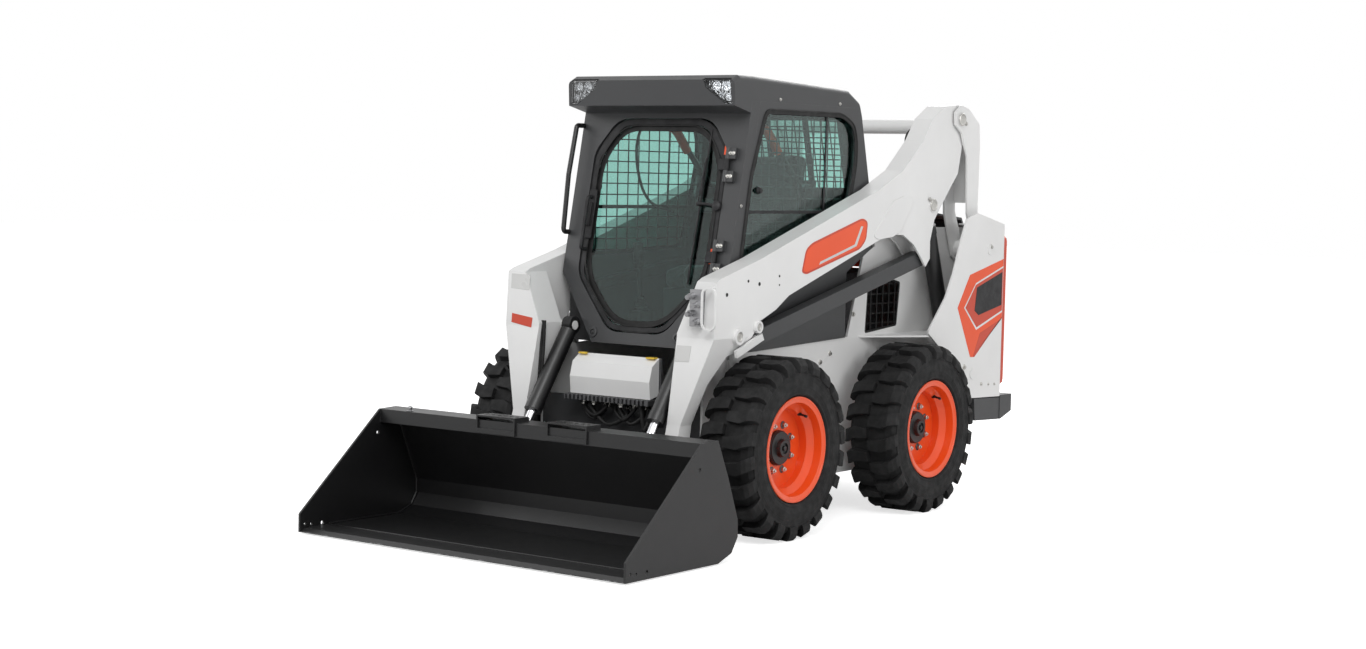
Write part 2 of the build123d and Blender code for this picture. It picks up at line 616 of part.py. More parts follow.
def door_hinge_plane():
    """Origin at the foot of the door's hinge line, normal along it."""
    plane = front_plane()
    foot = plane.origin + plane.x_dir * DOOR_HINGE_X + plane.z_dir * DOOR_HINGE_DEPTH
    return Plane(origin=foot, x_dir=(1, 0, 0), z_dir=plane.y_dir)


def on_hinge(x_low, x_high, low, high, depth_from, depth_to):
    """A block in the front face whose heights are measured up the leaning face."""
    plane = front_plane()
    outline = [(x_low, low), (x_high, low), (x_high, high), (x_low, high)]
    face = plane.offset(-depth_from) * make_face(Polyline(*outline, close=True))
    return extrude(face, amount=depth_to - depth_from, dir=plane.z_dir * -1)


BAR_X = 250.0
BAR_R = 14.0
LEVER_X = 300.0


def seat_line(z):
    """The front of the seat's back plate: y at height z."""
    return 368.0 + 0.12 * (z - 1000.0)


RAIL_R = 11.0


def make_grab_rail():
    """Bent hand rail beside the door, on the machine's right front pillar."""
    x = -(ARM_IN_X - SIDE_GAP - RAIL_R - 1.0)
    ends = [(cab_front_y(z - RAIL_R) - SEAT, z) for z in (1735.0, 1262.0)]
    runs = [ends[0], (ends[0][0] - 50.0, 1735.0), (-470.0, 1517.0), (ends[1][0] - 38.0, 1262.0), ends[1]]
    save("grab_rail", tube([(x, *point) for point in runs], RAIL_R, 16.0))


def make_cab_inside():
    pane = plate_x(SIDE_WINDOW, CAB_X - 22.0, CAB_X - 16.0, corner=20.0)
    rear = plate_x(REAR_PANE, -330.0, 330.0)
    save("cab_glass", Compound(children=[*pair(pane).solids(), *rear.solids()]))
    base = block((-230.0, 230.0), (-40.0, 380.0), (CAB_FLOOR_Z, 1010.0))
    base += plate_x([(seat_line(1000.0), 1000.0), (seat_line(1000.0) + 12.0, 1000.0),
                     (seat_line(1600.0) + 12.0, 1600.0), (seat_line(1600.0), 1600.0)],
                    -200.0, 200.0)
    base += plate_x([(seat_line(1450.0), 1450.0), (seat_line(1450.0) + 12.0, 1450.0),
                     (seat_line(1510.0) + 12.0, 1510.0), (seat_line(1510.0), 1510.0)],
                    -BAR_X - 18.0, BAR_X + 18.0)
    save("seat_base", base)
    bar_end = seat_line(1480.0 - BAR_R) - SEAT
    half = [(BAR_X, bar_end, 1480.0), (BAR_X, bar_end - 90.0, 1480.0), (BAR_X, 40.0, 1738.0),
            (BAR_X, -70.0, 1752.0)]
    path = half + [(-x, y, z) for x, y, z in reversed(half)]
    save("seat_bar", tube(path, BAR_R, 30.0))
    lever = block((LEVER_X - 32.0, LEVER_X + 32.0), (-170.0, -50.0), (CAB_FLOOR_Z, 905.0))
    lever = fillet(lever.edges().filter_by(Axis.Z), 14.0)
    lever += rod_between((LEVER_X, -110.0, 900.0), (LEVER_X - 10.0, -150.0, 1120.0), 11.0)
    grip = rod_between((LEVER_X - 10.0, -146.0, 1100.0), (LEVER_X - 14.0, -164.0, 1215.0), 24.0)
    save("control_levers", pair(lever + fillet(grip.edges(), 10.0)))
    cushion = fillet(block((-235.0, 235.0), (-60.0, 360.0), (1010.0 + SEAT, 1100.0)).edges(), 20.0)
    save("seat_cushion", cushion)
    back = plate_x([(280.0, 1105.0), (seat_line(1105.0) - SEAT, 1105.0),
                    (seat_line(1630.0) - SEAT, 1630.0), (350.0, 1640.0)],
                   -225.0, 225.0, corner=18.0)
    save("seat_back", back)


# ---------------------------------------------------------------- lift linkage
ARM_SIDE = [
    (-731.0, 1088.0), (-700.0, 1103.0), (-416.0, 1179.0), (515.0, 1476.0), (726.0, 1568.0),
    (896.0, 1707.0), (980.0, 1813.0), (1092.0, 1875.0), (1215.0, 1885.0), (1278.0, 1845.0),
    (1282.0, 1770.0), (1229.0, 1560.0), (1095.0, 1422.0), (1020.0, 1340.0), (985.0, 1240.0),
    (988.0, 1158.0), (950.0, 1120.0), (905.0, 1165.0), (836.0, 1225.0), (742.0, 1270.0),
    (611.0, 1275.0), (-197.0, 1019.0), (-296.0, 961.0), (-417.0, 915.0), (-470.0, 850.0),
    (-560.0, 790.0), (-640.0, 770.0), (-743.0, 853.0),
]
CAVITY = [
    (600.0, 1200.0), (600.0, 1330.0), (760.0, 1400.0), (900.0, 1560.0), (1010.0, 1790.0),
    (1100.0, 1850.0), (1215.0, 1865.0), (1262.0, 1835.0), (1400.0, 1835.0), (1400.0, 1100.0),
    (600.0, 1100.0),
]
BOSS_T = 14.0
NEAR_BOSS = (-433.0, 893.0)
SHELF = [(-600.0, 800.0), (-413.0, 866.0), (-398.0, 838.0), (-590.0, 770.0)]
PRESSED_PANEL = [(470.0, 1268.0), (639.0, 1425.0), (727.0, 1450.0), (835.0, 1445.0),
                 (718.0, 1292.0), (640.0, 1262.0), (520.0, 1252.0)]
LEG_SIDE = [
    (-731.0, 1088.0), (-743.0, 853.0), (-814.0, 493.0), (-883.0, 240.0), (-888.0, 188.0),
    (-860.0, 145.0), (-815.0, 145.0), (-788.0, 188.0), (-775.0, 250.0), (-735.0, 493.0),
    (-700.0, 660.0), (-610.0, 785.0), (-590.0, 800.0), (-590.0, 1130.0), (-690.0, 1105.0),
]


def make_arm():
    """Left lift arm: rear beam with two cheeks round the pins, knee and tapered front leg."""
    beam = plate_x(ARM_SIDE, ARM_IN_X, ARM_OUT_X)
    beam -= plate_x(CAVITY, ARM_IN_X + ARM_PLATE, ARM_OUT_X - ARM_PLATE)
    leg = plate_x(LEG_SIDE, KNEE_IN_X, KNEE_OUT_X)
    front = make_face(Polyline((LEG_IN_X, 100.0), (LEG_OUT_X, 100.0), (LEG_OUT_X, 493.0),
                               (KNEE_OUT_X, 853.0), (ARM_OUT_X, 1088.0), (ARM_OUT_X, ROOF_Z),
                               (ARM_IN_X, ROOF_Z), (ARM_IN_X, 1088.0), (KNEE_IN_X, 870.0),
                               (LEG_IN_X, 493.0), close=True))
    arm = (beam + leg) & extrude(Plane.XZ.offset(-1400.0) * front, amount=3000.0, both=True)
    for pivot, radius, bore in ((TILT_BASE, 34.0, 22.0), (NEAR_BOSS, 26.0, 16.0)):
        arm += bar_x(pivot, radius, ARM_OUT_X - ARM_PLATE, ARM_OUT_X + BOSS_T)
        arm -= bar_x(pivot, bore, ARM_OUT_X, ARM_OUT_X + BOSS_T + 1.0)
    arm += plate_x(PRESSED_PANEL, ARM_OUT_X - 1.0, ARM_OUT_X + 3.0, corner=14.0)
    arm += bar_x(TILT_BASE, SMALL_PIN_R, TILT_X - EYE_T / 2 - 2.0, KNEE_IN_X + 20.0)
    arm += bar_x(LIFT_TOP, 34.0, ARM_OUT_X, ARM_OUT_X + 5.0)
    arm -= bar_x(LINK_TOP, PIN_R + RUN, ARM_IN_X - 50.0, ARM_OUT_X + 50.0)
    arm -= bar_x(HINGE, SMALL_PIN_R + RUN, LEG_IN_X - 10.0, LEG_OUT_X + 10.0)
    return arm


def make_arms():
    arm = make_arm()
    left, right = arm + make_guard(), mirrored(arm)
    shelves = pair(plate_x(SHELF, ARM_OUT_X + SEAT, ARM_OUT_X + BOSS_T))
    save("lift_arms", Compound(children=[*left.solids(), *right.solids(), *shelves.solids()]))
    save("arm_cross_tube", bar_x((-755.0, 350.0), 47.0, -LEG_IN_X, LEG_IN_X))


GUARD_X = 558.0
COUPLER_X = 480.0
GUARD_Z = (890.0, 1070.0)


def knee_y(z):
    """Front face of the lift arm's knee."""
    return -743.0 + (z - 853.0) * 12.0 / 235.0


def make_guard():
    """Oval hoop standing on the front of the left arm, round the couplers."""
    middle = sum(GUARD_Z) / 2
    height = GUARD_Z[1] - GUARD_Z[0]
    hoop = RectangleRounded(76.0, height, 34.0) - RectangleRounded(60.0, height - 16.0, 28.0)
    plane = Plane(origin=(GUARD_X, knee_y(middle) - 38.0, middle), x_dir=(1, 0, 0), z_dir=(0, -1, 0))
    guard = extrude(plane * hoop, amount=8.0)
    for z in (GUARD_Z[0] + 4.0, GUARD_Z[1] - 4.0):
        guard += rod_between((GUARD_X - 8.0, knee_y(z) + 6.0, z),
                             (GUARD_X - 8.0, knee_y(middle) - 42.0, z), 5.0)
    return guard


def make_couplers():
    """Hydraulic quick couplers on the front of the left arm."""
    low, high = GUARD_Z[0] + 14.0, GUARD_Z[1] - 14.0
    front = knee_y(low) - 24.0
    body = plate_x([(knee_y(low) - SEAT, low), (knee_y(high) - SEAT, high), (front, high), (front, low)],
                   COUPLER_X - 28.0, COUPLER_X + 28.0)
    for i in range(4):
        x = COUPLER_X + 13.0 * (-1) ** i
        z = low + 22.0 + 35.0 * i
        body += rod_between((x, front + 4.0, z), (x, front - 42.0, z - 7.0), 10.0)
        body += rod_between((x, front + 4.0, z), (x, front - 24.0, z - 4.0), 14.0)
    save("hydraulic_couplers", body)


def make_rear_link():
    outline = [
        (1160.0, 1850.0), (1215.0, 1885.0), (1290.0, 1870.0), (1395.0, 1800.0), (1405.0, 1700.0),
        (1400.0, 1380.0), (1490.0, 1200.0), (1470.0, 1150.0), (1432.0, 1135.0),
        (1385.0, 1160.0), (1300.0, 1370.0), (1285.0, 1640.0), (1225.0, 1755.0), (1165.0, 1790.0),
    ]
    link = plate_x(outline, LINK_IN_X, LINK_IN_X + LINK_PLATE, corner=16.0)
    link += plate_x(outline, LINK_OUT_X, LINK_OUT_X + LINK_PLATE, corner=16.0)
    link += bar_x(LINK_TOP, PIN_R, LINK_IN_X, LINK_OUT_X + LINK_PLATE + 8.0)
    link += block((LINK_IN_X, LINK_OUT_X + LINK_PLATE), (1385.0, 1397.0), (1420.0, 1700.0))
    link += bar_x(LINK_BASE, 40.0, LINK_IN_X, LINK_OUT_X + LINK_PLATE)
    link -= bar_x(LINK_BASE, PIN_R + RUN, LINK_IN_X - 1, LINK_OUT_X + LINK_PLATE + 1)
    save("rear_links", pair(link))
    save("link_cross_tube", bar_x((1345.0, 1785.0), 35.0, -LINK_IN_X, LINK_IN_X))


def make_control_link():
    x_low = CONTROL_X - CONTROL_T / 2
    x_high = CONTROL_X + CONTROL_T / 2
    length = gap_between(CONTROL_FRONT, CONTROL_REAR)
    bar = block((x_low, x_high), (0.0, length), (-CONTROL_H / 2, CONTROL_H / 2))
    run = (CONTROL_REAR[0] - CONTROL_FRONT[0], CONTROL_REAR[1] - CONTROL_FRONT[1])
    slope = Vector(1, 0).get_angle(Vector(*run))
    bar = Pos(0, *CONTROL_FRONT) * Rot(slope, 0, 0) * bar
    bar += bar_x(CONTROL_REAR, CONTROL_H / 2, x_low, x_high)
    bar += bar_x(CONTROL_FRONT, 41.0, x_low, x_high)
    bar -= bar_x(CONTROL_FRONT, SMALL_PIN_R + RUN, x_low - 1, x_high + 1)
    save("control_links", pair(bar))


# ---------------------------------------------------------------- cylinders
def make_cylinder(x, base, top, base_pin, barrel_r, rod_r, rod_shows, reserve):
    """Barrel with its base eye, and rod with its own eye, in the plane at x.

    The rod reaches to a reserve's distance from the bottom of the barrel.
    """
    reach = gap_between(base, top)
    barrel_l = reach - rod_shows
    start = (x, *along(base, top, EYE_R - 8.0))
    end = (x, *along(base, top, barrel_l))
    barrel = rod_between(start, end, barrel_r)
    gland = (x, *along(base, top, barrel_l - 42.0))
    barrel += rod_between(gland, end, barrel_r + 3.0)
    port = (x, *along(base, top, EYE_R + 30.0))
    barrel += Pos(*port) * Box(26.0, 26.0, 2 * barrel_r + 16.0)
    barrel += bar_x(base, EYE_R, x - EYE_T / 2, x + EYE_T / 2)
    inner_end = (x, *along(base, top, EYE_R + 8.0))
    barrel -= rod_between(inner_end, (x, *along(base, top, barrel_l + 5.0)), rod_r + 0.5)
    barrel -= bar_x(base, base_pin + RUN, x - EYE_T, x + EYE_T)
    rod_start = (x, *along(base, top, EYE_R + 9.0 + reserve))
    rod = rod_between(rod_start, (x, *top), rod_r)
    rod += bar_x(top, ROD_EYE_R, x - EYE_T / 2, x + EYE_T / 2)
    return barrel, rod


def make_cylinders():
    barrel, rod = make_cylinder(CONTROL_X, LIFT_BASE, LIFT_TOP, PIN_R, LIFT_BARREL_R,
                                LIFT_ROD_R, LIFT_ROD_SHOWS, 25.0)
    save("lift_barrels", pair(barrel))
    save("lift_rods", pair(rod))
    barrel, rod = make_cylinder(TILT_X, TILT_BASE, TILT_TOP, SMALL_PIN_R, TILT_BARREL_R,
                                TILT_ROD_R, TILT_ROD_SHOWS, 80.0)
    save("tilt_barrels", pair(barrel))
    save("tilt_rods", pair(rod))


# ---------------------------------------------------------------- coupler and bucket
BUCKET_SIDE = [
    (EDGE_Y, EDGE_Z), (EDGE_Y, EDGE_Z + 77.0), (-1222.0, 491.0), (-1117.0, BUCKET_TOP_Z),
    (-1043.0, 341.0), (-973.0, 170.0), (-970.0, 100.0), (-1010.0, 40.0), (-1100.0, EDGE_Z),
]


BUCKET_HOLES = [(-1235.0, 390.0, 8.0), (-1660.0, 40.0, 6.0), (-1625.0, 36.0, 6.0),
                (-1560.0, 34.0, 9.0)]     # (y, z, radius)
CUTTING_W = 150.0
LIP_Y = -1222.0
STEP_X = 190.0
STEP_W = 210.0


def back_point(z):
    """The bucket's flat back: y at height z."""
    return -1117.0 + (BUCKET_TOP_Z - z) * (144.0 / 325.0)


def make_bucket():
    """Two side plates, a bent floor and back with its top lip, and two step pockets on the lip."""
    side = plate_x(BUCKET_SIDE, BUCKET_X - BUCKET_T, BUCKET_X)
    for y, z, radius in BUCKET_HOLES:
        side -= bar_x((y, z), radius, BUCKET_X - BUCKET_T - 1, BUCKET_X + 1)
    edge_end = EDGE_Y + CUTTING_W + SEAT
    top = BUCKET_TOP_Z
    shell = [
        (LIP_Y, top - 4.0), (-1117.0, top), (-973.0, 170.0), (-970.0, 100.0), (-1010.0, 40.0),
        (-1100.0, EDGE_Z), (edge_end, EDGE_Z), (edge_end, EDGE_Z + 16.0), (-1100.0, EDGE_Z + 16.0),
        (-1022.0, 54.0), (-986.0, 106.0), (-988.0, 168.0), (-1127.0, top - 14.0),
        (LIP_Y + 10.0, top - 16.0), (LIP_Y + 10.0, top - 62.0), (LIP_Y, top - 62.0),
    ]
    sheet = plate_x(shell, -BUCKET_X + BUCKET_T, BUCKET_X - BUCKET_T)
    for x in (-STEP_X, STEP_X):
        tread = block((x - STEP_W / 2, x + STEP_W / 2), (LIP_Y - 8.0, LIP_Y + 84.0),
                      (top + 10.0, top + 17.0))
        for i in range(6):
            hole = Pos(x - 80.0 + 32.0 * i, LIP_Y + 38.0, top) * Cylinder(9.0, 60.0)
            tread -= hole
        for cheek in (x - STEP_W / 2, x + STEP_W / 2 - 7.0):
            tread += block((cheek, cheek + 7.0), (LIP_Y - 8.0, LIP_Y + 84.0), (top - 5.0, top + 12.0))
            tread += block((cheek, cheek + 7.0), (LIP_Y - 8.0, LIP_Y + 2.0), (top - 58.0, top))
        tread += block((x - STEP_W / 2, x + STEP_W / 2), (LIP_Y - 8.0, LIP_Y), (top - 58.0, top - 38.0))
        sheet += tread
    save("bucket", side + mirrored(side) + sheet)
    cutting = [(EDGE_Y, EDGE_Z), (EDGE_Y + CUTTING_W, EDGE_Z), (EDGE_Y + CUTTING_W, EDGE_Z + 16.0),
               (EDGE_Y + 26.0, EDGE_Z + 16.0)]
    save("cutting_edge", plate_x(cutting, -BUCKET_X + BUCKET_T + SEAT, BUCKET_X - BUCKET_T - SEAT))


def make_coupler():
    """Quick coupler: a plate on the bucket's back with ears for the hinge and tilt pins."""
    top = 455.0
    low = 130.0
    front = 0.3
    plate = plate_x([
        (back_point(top) + front, top), (back_point(low) + front, low),
        (back_point(low) + 14.0, low), (back_point(top) + 14.0, top),
    ], -560.0, 560.0)
    window = plate_x([(-1200.0, 210.0), (-1200.0, 400.0), (-900.0, 400.0), (-900.0, 210.0)],
                     -250.0, 250.0)
    plate -= window
    for x in (-TILT_X, TILT_X):
        plate -= block((x - EYE_T / 2 - 5.0, x + EYE_T / 2 + 5.0), (-1200.0, -900.0), (285.0, 425.0))
    hinge_ear = [
        (back_point(280.0) + 10.0, 280.0), (back_point(140.0) + 10.0, 140.0),
        (-850.0, 140.0), (-800.0, 165.0), (-795.0, 205.0), (-840.0, 235.0),
    ]
    pin_y, pin_z = TILT_TOP
    tilt_ear = [
        (back_point(440.0) + 10.0, 440.0), (back_point(260.0) + 10.0, 260.0),
        (pin_y - 4.0, pin_z - 30.0), (pin_y + 26.0, pin_z - 12.0), (pin_y + 24.0, pin_z + 18.0),
        (pin_y - 10.0, pin_z + 32.0), (-1020.0, 440.0),
    ]
    half = plate_x(hinge_ear, LEG_IN_X - 6.0 - 10.0, LEG_IN_X - 6.0)
    half += plate_x(hinge_ear, LEG_OUT_X + 6.0, LEG_OUT_X + 16.0)
    half += bar_x(HINGE, SMALL_PIN_R, LEG_IN_X - 22.0, LEG_OUT_X + 22.0)
    for x_low in (TILT_X - EYE_T / 2 - 16.0, TILT_X + EYE_T / 2 + 6.0):
        half += plate_x(tilt_ear, x_low, x_low + 10.0)
    save("quick_coupler", plate + half + mirrored(half))


def main():
    make_wheels()
    make_frame_sides()
    make_side_grilles()
    make_frame_floor()
    make_uprights()
    make_rear()
    make_covers()
    make_front()
    make_cab()
    make_door()
    make_cab_inside()
    make_grab_rail()
    make_arms()
    make_couplers()
    make_rear_link()
    make_control_link()
    make_cylinders()
    make_bucket()
    make_coupler()
    os.makedirs("parts", exist_ok=True)
    for name, shape in PARTS.items():
        export_step(shape, f"parts/{name}.step")


main()
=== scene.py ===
import json
import math

import bmesh
import bpy
from mathutils import Matrix, Vector


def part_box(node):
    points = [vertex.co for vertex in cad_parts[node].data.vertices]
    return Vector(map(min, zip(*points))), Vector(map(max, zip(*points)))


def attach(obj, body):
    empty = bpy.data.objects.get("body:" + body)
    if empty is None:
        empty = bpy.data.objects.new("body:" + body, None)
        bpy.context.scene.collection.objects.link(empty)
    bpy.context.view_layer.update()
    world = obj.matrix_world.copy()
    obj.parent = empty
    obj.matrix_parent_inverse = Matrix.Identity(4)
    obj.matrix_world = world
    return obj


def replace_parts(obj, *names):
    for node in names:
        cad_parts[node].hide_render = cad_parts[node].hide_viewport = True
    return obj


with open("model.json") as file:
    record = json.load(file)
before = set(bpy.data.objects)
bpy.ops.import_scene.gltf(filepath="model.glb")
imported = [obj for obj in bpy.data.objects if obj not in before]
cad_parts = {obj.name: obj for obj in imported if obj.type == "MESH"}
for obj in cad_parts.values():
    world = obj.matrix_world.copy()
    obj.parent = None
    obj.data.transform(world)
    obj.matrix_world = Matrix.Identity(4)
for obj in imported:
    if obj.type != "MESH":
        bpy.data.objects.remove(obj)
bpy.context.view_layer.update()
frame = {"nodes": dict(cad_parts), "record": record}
nodes = frame["nodes"]


# ---------------------------------------------------------------- materials
class Graph:
    """A material's nodes, made by short calls."""

    def __init__(self, name):
        self.mat = bpy.data.materials.new(name)
        self.mat.use_nodes = True
        self.tree = self.mat.node_tree
        self.bsdf = self.tree.nodes["Principled BSDF"]
        self.coord = self.add("ShaderNodeTexCoord")

    def add(self, kind, **values):
        node = self.tree.nodes.new(kind)
        for key, value in values.items():
            setattr(node, key, value)
        return node

    def link(self, a, b):
        self.tree.links.new(a, b)

    def noise(self, scale, detail=4.0, rough=0.55):
        node = self.add("ShaderNodeTexNoise")
        node.inputs["Scale"].default_value = scale
        node.inputs["Detail"].default_value = detail
        node.inputs["Roughness"].default_value = rough
        self.link(self.coord.outputs["Object"], node.inputs["Vector"])
        return node.outputs["Fac"]

    def ramp(self, fac, low, high, a=0.35, b=0.65):
        node = self.add("ShaderNodeMapRange")
        node.inputs["From Min"].default_value = a
        node.inputs["From Max"].default_value = b
        node.inputs["To Min"].default_value = low
        node.inputs["To Max"].default_value = high
        self.link(fac, node.inputs["Value"])
        return node.outputs["Result"]

    def mix(self, fac, a, b):
        node = self.add("ShaderNodeMix", data_type="RGBA")
        self.link(fac, node.inputs["Factor"])
        for socket, value in ((node.inputs[6], a), (node.inputs[7], b)):
            if isinstance(value, tuple):
                socket.default_value = (*value, 1.0)
            else:
                self.link(value, socket)
        return node.outputs[2]

    def soft_normal(self, radius):
        """The normal as if edges were rounded by radius."""
        bevel = self.add("ShaderNodeBevel", samples=4)
        bevel.inputs["Radius"].default_value = radius
        return bevel.outputs["Normal"]

    def times(self, a, b):
        node = self.add("ShaderNodeMath", operation="MULTIPLY")
        for socket, value in zip(node.inputs, (a, b)):
            if isinstance(value, float):
                socket.default_value = value
            else:
                self.link(value, socket)
        return node.outputs[0]

    def edges(self, radius):
        """1 along sharp edges, 0 on flats."""
        geo = self.add("ShaderNodeNewGeometry")
        dot = self.add("ShaderNodeVectorMath", operation="DOT_PRODUCT")
        self.link(self.soft_normal(radius), dot.inputs[0])
        self.link(geo.outputs["True Normal"], dot.inputs[1])
        return self.ramp(dot.outputs["Value"], 1.0, 0.0, 0.80, 0.985)

    def bump(self, height, strength, distance, radius=0.0):
        node = self.add("ShaderNodeBump")
        node.inputs["Strength"].default_value = strength
        node.inputs["Distance"].default_value = distance
        self.link(height, node.inputs["Height"])
        if radius:
            self.link(self.soft_normal(radius), node.inputs["Normal"])
        self.link(node.outputs["Normal"], self.bsdf.inputs["Normal"])

    def put(self, **values):
        names = {"rough": "Roughness", "metal": "Metallic", "coat": "Coat Weight",
                 "coat_rough": "Coat Roughness", "ior": "IOR", "trans": "Transmission Weight",
                 "spec": "Specular IOR Level", "sheen": "Sheen Weight"}
        for key, value in values.items():
            socket = self.bsdf.inputs[names[key]]
            if isinstance(value, (int, float)):
                socket.default_value = value
            else:
                self.link(value, socket)
        return self

    def colour(self, value):
        socket = self.bsdf.inputs["Base Color"]
        if isinstance(value, tuple):
            socket.default_value = (*value, 1.0)
        else:
            self.link(value, socket)


def paint(name, colour, rough, coat, wear, worn, grain=900.0, edge=0.0022):
    """Sprayed paint: slight cloudiness, orange peel, rounded and faintly rubbed edges."""
    g = Graph(name)
    cloud = g.ramp(g.noise(3.0, 5.0), 0.0, 1.0, 0.3, 0.7)
    dark = tuple(c * 0.93 for c in colour)
    body = g.mix(cloud, dark, colour)
    patch = g.ramp(g.noise(38.0, 6.0), 0.0, 1.0, 0.52, 0.62)
    rub = g.times(g.times(g.edges(edge), patch), wear)
    g.colour(g.mix(rub, body, worn))
    g.put(rough=g.ramp(g.noise(9.0, 3.0), rough * 0.95, rough * 1.06), coat=coat, coat_rough=0.12)
    g.bump(g.noise(grain, 2.0), 0.12, 0.0006, edge)
    return g.mat


def glass(name, colour, rough=0.0):
    """Clear or tinted glass with a faint haze."""
    g = Graph(name)
    g.colour(colour)
    g.put(rough=g.ramp(g.noise(5.0, 3.0), rough, rough + 0.015), trans=1.0, ior=1.45)
    return g.mat


def rubber(name, colour, rough, strength=0.5):
    """Rubber or moulded plastic: fine grain, paler where dust lies."""
    g = Graph(name)
    dusty = g.ramp(g.noise(14.0, 8.0, 0.65), 0.0, 1.0, 0.42, 0.75)
    pale = tuple(c * 2.1 + 0.004 for c in colour)
    g.colour(g.mix(dusty, colour, pale))
    g.put(rough=g.ramp(g.noise(30.0, 6.0), rough * 0.85, min(1.0, rough * 1.15)), spec=0.25)
    g.bump(g.noise(320.0, 6.0, 0.7), strength, 0.0012, 0.003)
    return g.mat


def metal(name, colour, rough, scratch=0.0):
    """Bare or plated metal, clouded, with fine scratches."""
    g = Graph(name)
    dull = tuple(c * 0.72 for c in colour)
    g.colour(g.mix(g.ramp(g.noise(16.0, 8.0), 0.0, 1.0), dull, colour))
    g.put(metal=1.0, rough=g.ramp(g.noise(90.0, 6.0), rough * 0.75, rough * 1.35))
    g.bump(g.noise(500.0, 4.0), 0.1 + scratch, 0.0005, 0.001)
    return g.mat


def facets(name, colour):
    """Pressed facets of a lamp's mirror."""
    g = Graph(name)
    g.colour(colour)
    cells = g.add("ShaderNodeTexVoronoi")
    cells.inputs["Scale"].default_value = 95.0
    g.link(g.coord.outputs["Object"], cells.inputs["Vector"])
    g.put(metal=1.0, rough=g.ramp(g.noise(60.0), 0.05, 0.12))
    g.bump(cells.outputs["Distance"], 0.8, 0.006)
    return g.mat


def fabric(name, colour):
    """Woven cloth on the seat, darkened in the hollows of its weave as painted shade."""
    g = Graph(name)
    waves = []
    for axis in ("X", "Y"):
        wave = g.add("ShaderNodeTexWave", wave_type="BANDS", bands_direction=axis)
        wave.inputs["Scale"].default_value = 210.0
        wave.inputs["Distortion"].default_value = 1.2
        g.link(g.coord.outputs["Object"], wave.inputs["Vector"])
        waves.append(wave.outputs["Fac"])
    weave = g.times(*waves)
    # painted shade: the cloth is half as bright where the weave lies low, the same pattern that gives the
    # bump its height
    shade = tuple(c * 0.5 for c in colour)
    g.colour(g.mix(g.ramp(weave, 0.0, 1.0, 0.0, 0.7), shade, colour))
    g.put(rough=g.ramp(g.noise(60.0), 0.8, 0.95), sheen=0.3)
    g.bump(weave, 0.5, 0.001)
    return g.mat


# looks by short name: paint(name, colour, roughness, coat, wear, colour where worn)
M = {
    "white": paint("paint_white", (0.79, 0.79, 0.785), 0.34, 0.25, 0.35, (0.45, 0.45, 0.44)),
    "charcoal": paint("paint_charcoal", (0.036, 0.037, 0.039), 0.45, 0.08, 0.5, (0.12, 0.12, 0.12)),
    "orange": paint("paint_orange", (0.84, 0.080, 0.008), 0.36, 0.25, 0.3, (0.35, 0.1, 0.04)),
    "black": paint("paint_black", (0.0060, 0.0060, 0.0065), 0.40, 0.05, 0.6, (0.045, 0.045, 0.045)),
    "chrome": metal("rod_chrome", (0.82, 0.82, 0.84), 0.10),
    "steel": metal("steel_bare", (0.42, 0.42, 0.43), 0.38, 0.2),
    "zinc": metal("zinc_plated", (0.62, 0.61, 0.58), 0.32),
    "iron": metal("iron_cast", (0.13, 0.13, 0.135), 0.6, 0.5),
    "rubber": rubber("tyre_rubber", (0.0080, 0.0080, 0.0082), 0.72),
    "hose": rubber("hose_rubber", (0.009, 0.009, 0.009), 0.5, 0.2),
    "plastic": rubber("black_plastic", (0.016, 0.016, 0.017), 0.5, 0.35),
    "glass": glass("tinted_glass", (0.50, 0.74, 0.69)),
    "lens": glass("clear_lens", (0.93, 0.95, 0.96), 0.02),
    "red_lens": glass("red_lens", (0.75, 0.02, 0.015), 0.05),
    "fabric": fabric("seat_fabric", (0.035, 0.035, 0.038)),
    "reflector": facets("lamp_reflector", (0.88, 0.88, 0.89)),
    "edge": paint("paint_edge", (0.012, 0.012, 0.0125), 0.40, 0.05, 1.0, (0.30, 0.30, 0.31), 700.0,
                  0.008),
    "badge": paint("paint_badge", (0.58, 0.045, 0.010), 0.34, 0.3, 0.2, (0.3, 0.08, 0.04)),
    "yellow": paint("paint_yellow", (0.78, 0.52, 0.03), 0.4, 0.2, 0.2, (0.4, 0.3, 0.05)),
    "label": paint("label_film", (0.62, 0.62, 0.61), 0.28, 0.4, 0.1, (0.4, 0.4, 0.4)),
}
# the look of each material slot of the solids, then the nodes that differ from their slot
SLOT_LOOK = {
    "white_paint": "white", "charcoal_paint": "charcoal", "orange_paint": "orange",
    "black_paint": "black", "chrome": "chrome", "cab_glass": "glass", "lamp_lens": "lens",
    "seat_fabric": "fabric", "black_plastic": "plastic", "red_lens": "red_lens",
    "cast_iron": "iron", "steel": "steel", "tyre_rubber": "rubber",
}
NODE_LOOK = {"door_frame": "plastic", "front_step": "iron", "cutting_edge": "edge"}
slot_of = {s["node"]: s["material_slot"] for s in frame["record"]["subparts"]}
for name, obj in nodes.items():
    look = M[NODE_LOOK.get(name, SLOT_LOOK[slot_of[name]])]
    if not obj.material_slots:
        obj.data.materials.append(look)
    for i in range(len(obj.material_slots)):
        obj.material_slots[i].material = look


# ---------------------------------------------------------------- mesh helpers
MM = 0.001                 # pieces are drawn in millimetres, the scene is in metres
SMOOTH_ANGLE = 0.62        # edges flatter than this, in radians, are shaded smooth
WIRE_R = 3.0
X_AXIS = (1, 0, 0)


